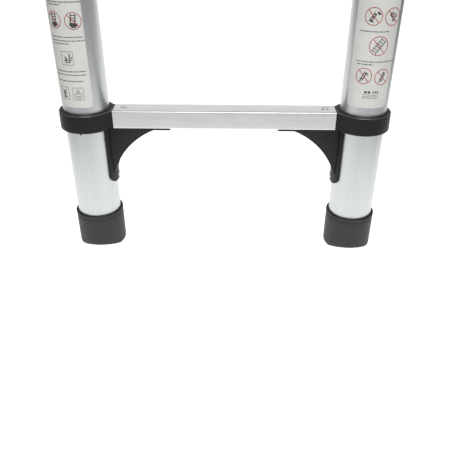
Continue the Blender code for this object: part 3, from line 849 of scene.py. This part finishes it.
def bottom_collar():
    """The ring that the base rail passes through, with its short flared neck and the spigot in the rung."""
    steps = [(BASE_BORE + BORE_EASE, 0.0), (BASE_BORE, -BORE_EASE), (BASE_BORE, -RUNG_HEIGHT + BORE_EASE),
             (BASE_BORE + BORE_EASE, -RUNG_HEIGHT)]
    return together(collar_body(COLLAR_RADIUS, BOTTOM_REACH, RUNG_HEIGHT, steps), spigot(BOTTOM_REACH))


def gate_nib():
    """The stub of the moulding gate under a collar's front edge."""
    radius = COLLAR_RADIUS - GATE_INSET
    nib = turned([(0.0009, -0.0015), (0.0013, -0.0010), (0.0014, 0.0012)], 20)
    return moved(nib, -radius * sin(GATE_TURN), -radius * cos(GATE_TURN), -RUNG_HEIGHT)


def connector(stage):
    """The moulding on a stage's rail end: ring, lip over the rail, neck with a latch pocket, and spigot."""
    radius = rail_radius(stage)
    last = stage == STAGES
    inner = radius - RAIL_WALL - GAP if last else rail_radius(stage + 1) + GAP
    socket = radius + GAP
    steps = [(inner + BORE_EASE, 0.0), (inner, -BORE_EASE), (inner, -CONNECTOR_LIP), (socket, -CONNECTOR_LIP),
             (socket, -CONNECTOR_HEIGHT + BORE_EASE), (socket + BORE_EASE, -CONNECTOR_HEIGHT)]
    body = collar_body(radius + COLLAR_WALL, UPPER_REACH, CONNECTOR_HEIGHT, steps)
    if not last:
        heights = (-PIN_DROP - POCKET_HALF_HEIGHT, -PIN_DROP + POCKET_HALF_HEIGHT)
        front = -RUNG_DEPTH / 2
        pocket = block(POCKET, (front + POCKET_FRONT_WALL, POCKET_BACK), heights)
        slot = (POCKET[0], SLIDER[1] + LATCH_TRAVEL + GAP)
        window = block(slot, (front - OVERRUN, front + POCKET_FRONT_WALL + OVERRUN), heights)
        body = cut(body, pocket, window, pin_cutter(-PIN_DROP))
    return together(body, spigot(UPPER_REACH))


def rung_outline(grooved=True):
    """Section of the rung as (y, z) under the tread, anticlockwise, with fine grooves along the tread."""
    half = RUNG_DEPTH / 2
    corners = [(-half, -RUNG_HEIGHT), (half, -RUNG_HEIGHT), (half, 0.0), (-half, 0.0)]
    base = rounded(corners, RUNG_CORNER, RUNG_CORNER_STEPS, RUNG_FLAT_MARGIN)
    if not grooved:
        return base
    tread_start = 3 * (RUNG_CORNER_STEPS + 3)     # past three corners, each with its two margin points
    outline = base[:tread_start]
    for i in range(TREAD_GROOVES):
        y = ((TREAD_GROOVES - 1) / 2 - i) * TREAD_GROOVE_PITCH
        for share, depth in ((1.7, 0.0), (1.0, TREAD_GROOVE_DEPTH), (-1.0, TREAD_GROOVE_DEPTH), (-1.7, 0.0)):
            outline.append((y + TREAD_GROOVE_HALF * share, -depth))
    return outline + base[tread_start:]


def rung(inset_from_rail, top):
    """A hollow extrusion with eased saw cuts at its ends."""
    reach = HALF_SPACING - inset_from_rail - GAP
    outside = prism(rung_outline(), "X", -reach, reach, RUNG_SAW_EASE)
    section = inset(rung_outline(grooved=False), RUNG_WALL)
    hollow = prism(section, "X", -reach - 2 * OVERRUN, reach + 2 * OVERRUN)
    return moved(cut(outside, hollow), z=top)


def web(plate_low, front):
    """One of the bracket's two webs with its hollow edge, its other edges eased; the front one faces -Y."""
    low, high = Vector(WEB_LOW), Vector(WEB_HIGH)
    chord = high - low
    side = Vector((chord.y, -chord.x)).normalized()
    centre = (low + high) / 2 + side * sqrt(WEB_RADIUS ** 2 - (chord.length / 2) ** 2)
    start = pi - asin((low.y - centre.y) / WEB_RADIUS)
    end = pi - asin((plate_low + 0.0004 - centre.y) / WEB_RADIUS)
    turns = [start + (end - start) * i / WEB_STEPS for i in range(WEB_STEPS + 1)]
    arc = [(centre.x + WEB_RADIUS * cos(t), centre.y + WEB_RADIUS * sin(t)) for t in turns]
    top = plate_low + OVERRUN
    face = -WEB_OUTSIDE if front else WEB_OUTSIDE - WEB_WALL
    outline = [(WEB_ROOT, top), (WEB_ROOT, arc[0][1]), *arc, (arc[-1][0], top)]
    return prism(outline, "Y", face, face + WEB_WALL, GUSSET_EDGE)


def saddle(inner, outer, top):
    """The curved flange that hugs the rail, with a round tongue and rolled outer edges."""
    half = outer * sin(SADDLE_HALF_ANGLE)
    tip_start = -SADDLE_DROP + SADDLE_CORNER
    trim = SADDLE_EDGE / outer
    rolled = (outer - SADDLE_EDGE * 0.3, trim * 0.3), (outer - SADDLE_EDGE, 0.0)
    rings = []
    for i in range(SADDLE_ROWS + 1):
        t = i / SADDLE_ROWS
        z = top + (tip_start - top) * t / SADDLE_STRAIGHT
        if t > SADDLE_STRAIGHT:
            turn = (t - SADDLE_STRAIGHT) / (1 - SADDLE_STRAIGHT) * pi / 2
            z = -SADDLE_DROP + SADDLE_CORNER * (1 - sin(turn))
        over = max(0.0, tip_start - z)
        width = half - SADDLE_CORNER + sqrt(max(0.0, SADDLE_CORNER ** 2 - over ** 2))
        angle = asin(min(1.0, width / outer))
        reach = angle - trim
        section = [(outer, -reach + 2 * reach * k / SADDLE_COLUMNS) for k in range(SADDLE_COLUMNS + 1)]
        section += [(radius, angle - lean) for radius, lean in (*rolled, (inner, 0.0))]
        section += [(inner, angle - 2 * angle * k / SADDLE_COLUMNS) for k in range(1, SADDLE_COLUMNS)]
        section += [(radius, lean - angle) for radius, lean in ((inner, 0.0), *rolled[::-1])]
        rings.append([(radius * cos(turn), radius * sin(turn), z) for radius, turn in section])
    return loft(rings)


def gusset():
    """A bracket under the rung: plate, two webs with a hollow edge, and a saddle on the rail."""
    top = -RUNG_HEIGHT - GAP
    outer = BASE_BORE + SADDLE_WALL
    plate_low = top - GUSSET_PLATE
    hole = moved(rod(TONGUE_HOLE_RADIUS, 0.020, outer + 0.010, "X", 24), z=-TONGUE_RIVET_DROP)
    hug = cut(saddle(BASE_BORE, outer, top), hole)
    half = GUSSET_HALF_DEPTH
    root = outer - 0.0015
    corners = [(root, -half), (GUSSET_LENGTH, -half), (GUSSET_LENGTH, half), (root, half)]
    corner_points = GUSSET_CORNER_STEPS + 1
    far_end = rounded(corners, GUSSET_CORNER, GUSSET_CORNER_STEPS)[corner_points:3 * corner_points]
    shelf = prism([corners[0], *far_end, corners[3]], "Z", plate_low, top, GUSSET_EDGE)
    return together(hug, shelf, web(plate_low, True), web(plate_low, False))


def boot():
    """A rubber boot with a rolled bead at its rim, a rocker sole and tread grooves."""
    rim = BASE_BORE + FOOT_WALL
    side = rim - FOOT_DRAFT
    low = side - FOOT_SOLE_INSET
    top = FOOT_HEIGHT
    under = top - FOOT_BEAD
    roll = FOOT_BEAD_ROUND
    inside = [(POLE_RADIUS, FOOT_FLOOR), (BASE_BORE * 0.6, FOOT_FLOOR), (BASE_BORE - 0.0012, FOOT_FLOOR),
              (BASE_BORE, FOOT_FLOOR + 0.0012), (BASE_BORE, top - 0.0010), (BASE_BORE + 0.0003, top - 0.0003),
              (BASE_BORE + 0.0010, top)]
    bead = [(rim - roll * (1 - sin(t)), top - roll * (1 - cos(t))) for t in (0, pi / 6, pi / 3, pi / 2)]
    bead += [(rim, under + 0.0008), (rim - 0.0002, under + 0.0003), (rim - 0.0009, under)]
    neck = [(rim - 0.0012, under - 0.0006), (rim - 0.0011, under - 0.0012), (side - 0.0004, under - 0.0018),
            (side - 0.0001, under - 0.0030)]
    wall = [(side, top - 0.014), (side, 0.030), (side, FOOT_ROUND + 0.004)]
    turns = [pi / 18 * k for k in range(9, -1, -1)]
    heel = [(low + FOOT_SOLE_INSET * sin(t), FOOT_ROUND * (1 - cos(t))) for t in turns]
    sole = [(low * share, 0.0) for share in (0.97, 0.9, 0.8, 0.65, 0.45, 0.2)] + [(POLE_RADIUS, 0.0)]
    shape = turned(inside + bead + neck + wall + heel + sole)
    slope = FOOT_RISE / (low - FOOT_FLAT_HALF)
    for vert in shape.verts:
        on_floor = hypot(vert.co.x, vert.co.y) <= BASE_BORE and vert.co.z > FOOT_FLOOR - 0.0001
        if vert.co.z < FOOT_RISE_FADE and not on_floor:
            over = max(0.0, abs(vert.co.y) - FOOT_FLAT_HALF)
            vert.co.z += slope * over * (1 - vert.co.z / FOOT_RISE_FADE)
    width, depth = SOLE_GROOVE
    for k in range(SOLE_GROOVES):
        y = (k - (SOLE_GROOVES - 1) / 2) * SOLE_GROOVE_PITCH
        base = max(0.0, slope * (abs(y) - FOOT_FLAT_HALF))
        section = [(y - width / 2, -0.002), (y + width / 2, -0.002), (y + width / 2, base + depth * 0.7),
                   (y + width * 0.3, base + depth), (y - width * 0.3, base + depth),
                   (y - width / 2, base + depth * 0.7)]
        shape = cut(shape, prism(section, "X", -rim - 0.005, rim + 0.005))
    return shape


def latch_block(stage):
    """The sliding block with its thumb pad and, as the second material, the lock pin."""
    front = -RUNG_DEPTH / 2 - GAP
    face = front - BUTTON_THICKNESS
    half = POCKET_HALF_HEIGHT - GAP
    slider = block(SLIDER, (front - BUTTON_THICKNESS / 2, POCKET_BACK - GAP), (-half, half))
    near, far = BUTTON
    high = BUTTON_HALF_HEIGHT
    plan = rounded([(near, -high), (far, -high), (far, high), (near, high)], BUTTON_CORNER, 6)
    layers = [(0.0, front), (0.0, face + 0.0016), (0.0002, face + 0.0009), (0.0007, face + 0.0003),
              (0.0015, face)]
    pad = loft([[(x, y, z) for x, z in inset(plan, amount)] for amount, y in layers])
    body = together(slider, pad)
    pin = rod(PIN_RADIUS, rail_radius(stage + 1) + GAP, SLIDER[0] + PIN_ROOT, "X", 32, PIN_POINT)
    for side_face in pin.faces:
        side_face.material_index = 1
    return together(body, pin)


def grip_ribs():
    """The grip ribs on a thumb pad's face, as a bmesh."""
    face = -RUNG_DEPTH / 2 - GAP - BUTTON_THICKNESS
    start = (BUTTON[0] + GRIP_RIB_START, face + 0.0001, 0.0)
    ribs = bmesh.new()
    ribs.from_mesh(grown(THUMB_RIBS, start=start, step=(GRIP_RIB_PITCH, 0.0, 0.0), count=GRIP_RIBS,
                         rib_radius=GRIP_RIB_RADIUS, rib_length=GRIP_RIB_LENGTH))
    return ribs


def latch_coil():
    """The spring between a latch's slider and the end of its pocket, as a bmesh."""
    start = SLIDER[1] + GAP + SPRING_END_GAP
    end = POCKET[1] - GAP - SPRING_END_GAP
    coil = bmesh.new()
    coil.from_mesh(grown(COIL, start=(start, 0.0, 0.0), length=end - start))
    return coil


def top_cap():
    """A push-in cap with a domed head."""
    plug = rail_radius(STAGES) - RAIL_WALL - 2 * GAP
    brim = rail_radius(STAGES) + CAP_BRIM
    head = [(brim - 0.0004, 0.0), (brim, 0.0004), (brim, 0.0014), (brim - 0.0003, 0.0021),
            (brim - 0.0011, 0.0027), (brim - 0.0030, 0.0031), (brim * 0.72, CAP_RISE * 0.965),
            (brim * 0.4, CAP_RISE * 0.99), (0.0005, CAP_RISE)]
    stem = [(plug - 0.0010, -0.012), (plug, -0.011), (plug, GAP)]
    return turned(stem + [(radius, GAP + z) for radius, z in head])


# Flat drawings for the labels, laid out as (round the tube, lift, height above the bottom rung's tread)

class Drawing:
    """Flat marks laid out in millimetres, to be wrapped on a tube."""

    def __init__(self):
        self.shape = bmesh.new()

    def face(self, points):
        self.shape.faces.new([self.shape.verts.new((s / 1000, 0.0, z / 1000)) for s, z in points])

    def bar(self, s0, z0, s1, z1, width):
        """A straight stroke between two points."""
        along = Vector((s1 - s0, z1 - z0))
        count = max(1, int(along.length / 1.2))
        across = Vector((-along.y, along.x)).normalized() * width / 2
        for i in range(count):
            a = Vector((s0, z0)) + along * i / count
            b = Vector((s0, z0)) + along * (i + 1) / count
            self.face([a - across, b - across, b + across, a + across])

    def ring(self, s, z, radius, width):
        for i in range(56):
            a, b = (2 * pi * k / 56 for k in (i, i + 1))
            self.face([(s + radius * cos(a), z + radius * sin(a)), (s + radius * cos(b), z + radius * sin(b)),
                       (s + (radius - width) * cos(b), z + (radius - width) * sin(b)),
                       (s + (radius - width) * cos(a), z + (radius - width) * sin(a))])

    def frame(self, s, z, half_width, half_height, width):
        """A square outline."""
        w, h, t = half_width, half_height, width / 2
        self.bar(s - w, z - h + t, s + w, z - h + t, width)
        self.bar(s - w, z + h - t, s + w, z + h - t, width)
        self.bar(s - w + t, z - h + width, s - w + t, z + h - width, width)
        self.bar(s + w - t, z - h + width, s + w - t, z + h - width, width)

    def steps(self, s, z, length, width, lean, count):
        """A little pair of stiles with steps between them."""
        along = Vector((sin(lean), cos(lean)))
        across = Vector((cos(lean), -sin(lean)))
        middle = Vector((s, z))
        for sign in (-1, 1):
            foot_end = middle + across * sign * width / 2 - along * length / 2
            head_end = middle + across * sign * width / 2 + along * length / 2
            self.bar(*foot_end, *head_end, 1.3)
        for k in range(count):
            level = middle + along * length * ((k + 0.5) / count - 0.5)
            self.bar(*(level - across * (width / 2 - 0.65)), *(level + across * (width / 2 - 0.65)), 1.1)

    def dashes(self, s0, s1, z, height, seed):
        """A row of strokes with uneven lengths, standing for a printed line."""
        place, k = s0, seed
        while place < s1 - 0.6:
            k = (k * 73 + 41) % 97
            length = min(s1 - place, 1.6 + 0.05 * k)
            self.bar(place, z, place + length, z, height)
            place += length + 0.7

    def lifted(self, low, high):
        """The drawing as thin closed slabs between two lifts."""
        bmesh.ops.remove_doubles(self.shape, verts=self.shape.verts, dist=1e-6)
        made = bmesh.ops.extrude_face_region(self.shape, geom=list(self.shape.faces), use_keep_orig=True)
        top = [item for item in made["geom"] if isinstance(item, bmesh.types.BMVert)]
        for vert in self.shape.verts:
            vert.co.y = low
        for vert in top:
            vert.co.y = high
        bmesh.ops.recalc_face_normals(self.shape, faces=self.shape.faces)
        return moved(self.shape, z=RUNG_TOPS[0])


def label_film(span, lift):
    """The label's flat blank with rounded corners, as upright strips that can bend round a tube."""
    first, last = (turn * rail_radius(1) * 1000 for turn in span)
    low, high, corner = lift * 1000, LABEL_TOP * 1000, LABEL_CORNER * 1000
    eased = [corner * (1 - cos(pi / 12 * k)) for k in range(7)]
    columns = [first + run for run in eased]
    columns += [first + corner + (last - first - 2 * corner) * k / 20 for k in range(1, 20)]
    columns += [last - run for run in reversed(eased)]
    drops = []
    for s in columns:
        over = max(0.0, corner - min(s - first, last - s))
        drops.append(corner - sqrt(max(0.0, corner ** 2 - over ** 2)))
    drawing = Drawing()
    for a, b, fall, rise in zip(columns, columns[1:], drops, drops[1:]):
        drawing.face([(a, low + fall), (b, low + rise), (b, high - rise), (a, high - fall)])
    return drawing


def left_print():
    """Two rings with a slanting bar, three framed signs and rows of dashes."""
    red, dark, grey, green = Drawing(), Drawing(), Drawing(), Drawing()
    for s, z, lean in ((-19.6, 125.0, 0.02), (6.8, 124.4, 0.14)):
        red.ring(s, z, 10.7, 0.9)
        red.bar(s - 6.6, z + 7.0, s + 6.6, z - 7.0, 0.9)
        dark.steps(s, z + 2.0, 13.0, 6.0, lean, 4)
        dark.bar(s - 4.8, z - 4.8, s + 5.2, z - 4.8, 3.8)
        dark.bar(s - 2.8, z - 7.6, s + 3.0, z - 7.6, 1.6)
    for s0, s1, z, seed in ((-28, 20, 146.9, 3), (-28, -7, 143.8, 9), (-30, 16.5, 104.3, 5),
                            (-30, 18.2, 99.7, 11), (-28, -2, 96.0, 17), (-31, 15, 60.0, 23),
                            (-32, 14.6, 55.4, 29), (-31, -28, 51.6, 2), (-30, 10, 47.1, 31)):
        grey.dashes(s0, s1, z, 1.4, seed)
    green.frame(-7.7, 77.4, 8.4, 9.0, 0.8)
    for stroke in ((-3.8, 83.4, -5.4, 72.4, 1.5), (-1.4, 79.6, -3.4, 73.0, 1.1),
                   (-10.4, 79.6, -8.2, 74.6, 1.8), (-12.0, 74.6, -6.8, 74.6, 1.7),
                   (-11.4, 72.0, -4.0, 72.0, 0.9)):
        dark.bar(*stroke)
    for s, half in ((-19.2, 7.2), (0.7, 7.5)):
        green.frame(s, 29.9, half, 8.8, 0.8)
    for s, z, width in ((-19.4, 30.2, 5.0), (-19.4, 32.4, 2.6), (-19.6, 27.8, 3.2), (-19.4, 25.0, 6.0)):
        dark.bar(s - width / 2, z, s + width / 2, z, 2.0)
    dark.bar(-22.8, 35.2, -20.4, 33.2, 1.2)
    dark.bar(-16.2, 35.2, -18.4, 33.2, 1.2)
    grey.ring(1.0, 27.6, 4.6, 0.9)
    grey.ring(0.9, 33.6, 2.3, 0.8)
    grey.bar(-0.6, 30.0, 2.4, 30.0, 0.9)
    grey.bar(-1.4, 26.6, 3.2, 26.6, 0.9)
    return {"red": red, "dark": dark, "grey": grey, "green": green}


def right_print():
    """Five rings with a slanting bar, step signs, short strokes and rows of dashes."""
    red, dark, grey = Drawing(), Drawing(), Drawing()
    for s, z, radius in ((-10.0, 131.4, 11.0), (15.2, 130.8, 11.0), (1.3, 95.4, 12.3), (-12.7, 56.3, 10.7),
                         (11.9, 55.2, 10.7)):
        red.ring(s, z, radius, 0.9)
        red.bar(s - 6.9, z + 7.5, s + 6.9, z - 7.5, 0.9)
    grey.steps(1.3, 95.4, 20.5, 6.4, 0.62, 6)
    for s, z, lean in ((-10.6, 130.4, 0.55), (15.2, 130.8, -0.35), (-12.9, 56.4, 0.45), (11.9, 55.4, 0.35)):
        dark.steps(s, z, 12.0, 2.6, lean, 3)
    for stroke in ((-5.2, 137.0, -2.2, 133.6, 2.6), (-14.6, 126.2, -9.0, 124.4, 1.4),
                   (10.6, 134.2, 13.0, 131.0, 1.6), (18.6, 134.6, 20.2, 129.6, 1.8),
                   (-10.2, 61.4, -7.2, 57.8, 1.2), (-16.4, 53.0, -17.2, 48.8, 1.2),
                   (12.6, 60.6, 14.2, 62.2, 1.2), (9.0, 50.8, 8.2, 47.6, 1.2)):
        dark.bar(*stroke)
    for s0, s1, z, seed in ((-25, 13, 113.1, 7), (-26, 26, 75.2, 13), (-24, -4, 71.6, 19)):
        grey.dashes(s0, s1, z, 1.4, seed)
    for s, width in ((-7.6, 3.4), (-3.0, 3.2), (2.4, 1.4), (5.6, 1.6), (8.4, 1.8)):
        dark.bar(s - width / 2, 35.0, s + width / 2, 35.0, 2.8)
    for z in (31.4, 29.1, 26.9):
        grey.dashes(-11.0, 9.6, z, 0.8, int(z * 10))
    return {"red": red, "dark": dark, "grey": grey}


def rivet_points():
    """Seats of the four base rivets, each with the direction that its head faces."""
    mesh = bpy.data.meshes.new("seats")
    places, facings = [], []
    for sign in SIDES.values():
        places.append((sign * (HALF_SPACING - RUNG_RIVET_INSET), 0.0, RUNG_TOPS[0]))
        facings.append((0.0, 0.0, 1.0))
        tongue = sign * (HALF_SPACING - BASE_BORE - SADDLE_WALL)
        places.append((tongue, 0.0, RUNG_TOPS[0] - TONGUE_RIVET_DROP))
        facings.append((-float(sign), 0.0, 0.0))
    mesh.from_pydata(places, [], [])
    facing = mesh.attributes.new("facing", "FLOAT_VECTOR", "POINT")
    for seat, direction in zip(facing.data, facings):
        seat.vector = direction
    return mesh


# Base

INKS = {"red": RED_INK, "dark": DARK_INK, "grey": GREY_INK, "green": GREEN_INK}
PRINTS = {"left": left_print(), "right": right_print()}
base_rail, base_boot, base_collar, bracket = rail(1), boot(), bottom_collar(), gusset()
for side, sign in SIDES.items():
    piece("boot_" + side, at_side(base_boot, side), RUBBER, "base", "foot_rubber", "foot_" + side)
    piece("base_tube_" + side, at_side(base_rail, side), RAIL_ALLOY, "base", "rail_alloy", "rail_1_" + side)
    collar = together(base_collar.copy(), gate_nib()) if side == "left" else base_collar
    piece("base_collar_" + side, at_side(collar, side, RUNG_TOPS[0]), MOULDING, "base", "black_moulding",
          "bottom_collar_" + side)
    piece("bracket_" + side, at_side(bracket, side, RUNG_TOPS[0]), MOULDING, "base", "black_moulding",
          "gusset_" + side)
    wrap = {"radius": rail_radius(1) + LABEL_CLEARANCE, "centre": sign * HALF_SPACING}
    blank = label_film(LABEL_SPANS[side], LABEL_LIFTS[side]).lifted(0.0, LABEL_FILM)
    film = grown(WRAP, blank, ink=VINYL, **wrap)
    piece("label_film_" + side, film, VINYL, "base", "label_film", "label_" + side)
    for level, (colour, drawing) in enumerate(PRINTS[side].items()):
        flat = drawing.lifted(PRINT_ROOT, LABEL_FILM + PRINT_HEIGHT + PRINT_STEP * (3 - level))
        skin = grown(WRAP, flat, ink=INKS[colour], **wrap)
        piece(f"print_{colour}_{side}", skin, INKS[colour], "base", "label_film")

piece("rung_extrusion_1", rung(BOTTOM_REACH, RUNG_TOPS[0]), RUNG_ALLOY, "base", "rung_alloy", "bottom_rung")
piece("rivets", grown(RIVETS, rivet_points()), RIVET_METAL, "base", "rivet_metal", "tread_rivet_left",
      "tread_rivet_right", "gusset_rivet_left", "gusset_rivet_right")

# Stages

for stage in range(1, STAGES + 1):
    number = stage + 1
    carrier = "base" if stage == 1 else f"stage_{stage}"
    top = RUNG_TOPS[stage]
    axis_height = top - PIN_DROP
    tread = rung(UPPER_REACH, top)
    piece(f"rung_extrusion_{number}", tread, RUNG_ALLOY, carrier, "rung_alloy", f"rung_{number}")
    moulding = connector(stage)
    tube = rail(stage) if stage > 1 else None
    for side, sign in SIDES.items():
        piece(f"stage_collar_{number}_{side}", at_side(moulding, side, top), MOULDING, carrier,
              "black_moulding", f"connector_{number}_{side}")
        if tube:
            piece(f"stage_tube_{stage}_{side}", at_side(tube, side), RAIL_ALLOY, carrier, "rail_alloy",
                  f"rail_{stage}_{side}")
        if stage == STAGES:
            piece(f"end_cap_{side}", at_side(top_cap(), side, top), CAP_PLASTIC, carrier, "cap_plastic",
                  f"top_cap_{side}")
            continue
        slide = f"latch_{number}_{side}"
        latch = at_side(together(latch_block(stage), grip_ribs()), side, axis_height)
        piece(f"thumb_slide_{number}_{side}", latch, [LATCH_PLASTIC, PIN_STEEL], slide, "latch_plastic",
              slide)
        coil = at_side(latch_coil(), side, axis_height)
        spring = piece(f"coil_{number}_{side}", coil, SPRING_WIRE, carrier, "spring_steel",
                       f"latch_spring_{number}_{side}")
        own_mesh(spring)

# Floor and light

def set_floor():
    shape = bmesh.new()
    rows = [[shape.verts.new((x, y, 0.0)) for x in (-6.0, 0.0, 6.0)] for y in (-2.0, 1.0, 10.0)]
    for first, second in zip(rows, rows[1:]):
        for i in range(2):
            shape.faces.new((first[i], first[i + 1], second[i + 1], second[i]))
    mesh = bpy.data.meshes.new("floor")
    shape.to_mesh(mesh)
    shape.free()
    mesh.materials.append(floor_paint())
    floor = bpy.data.objects.new("floor", mesh)
    scene.collection.objects.link(floor)


def soft_light(name, place, aim, size, power):
    data = bpy.data.lights.new(name, "AREA")
    data.shape = "RECTANGLE"
    data.size, data.size_y = size
    data.energy = power
    light = bpy.data.objects.new(name, data)
    scene.collection.objects.link(light)
    direction = Vector(aim) - Vector(place)
    light.matrix_world = Matrix.Translation(place) @ direction.to_track_quat("-Z", "Y").to_matrix().to_4x4()


def set_world(strength):
    world = bpy.data.worlds.new("studio")
    world.use_nodes = True
    background = world.node_tree.nodes["Background"]
    background.inputs["Color"].default_value = rgb(1.0, 1.0, 1.0)
    background.inputs["Strength"].default_value = strength
    scene.world = world


set_floor()
set_world(WORLD_GREY)
soft_light("back_softbox", (0.0, 1.7, 1.9), (0.0, 0.0, 0.2), (2.6, 1.6), BACK_POWER)
soft_light("front_softbox", (0.1, -1.5, 1.7), (0.0, 0.0, 0.25), (1.5, 0.9), FRONT_POWER)
scene.view_settings.view_transform = "Standard"
scene.view_settings.look = "None"
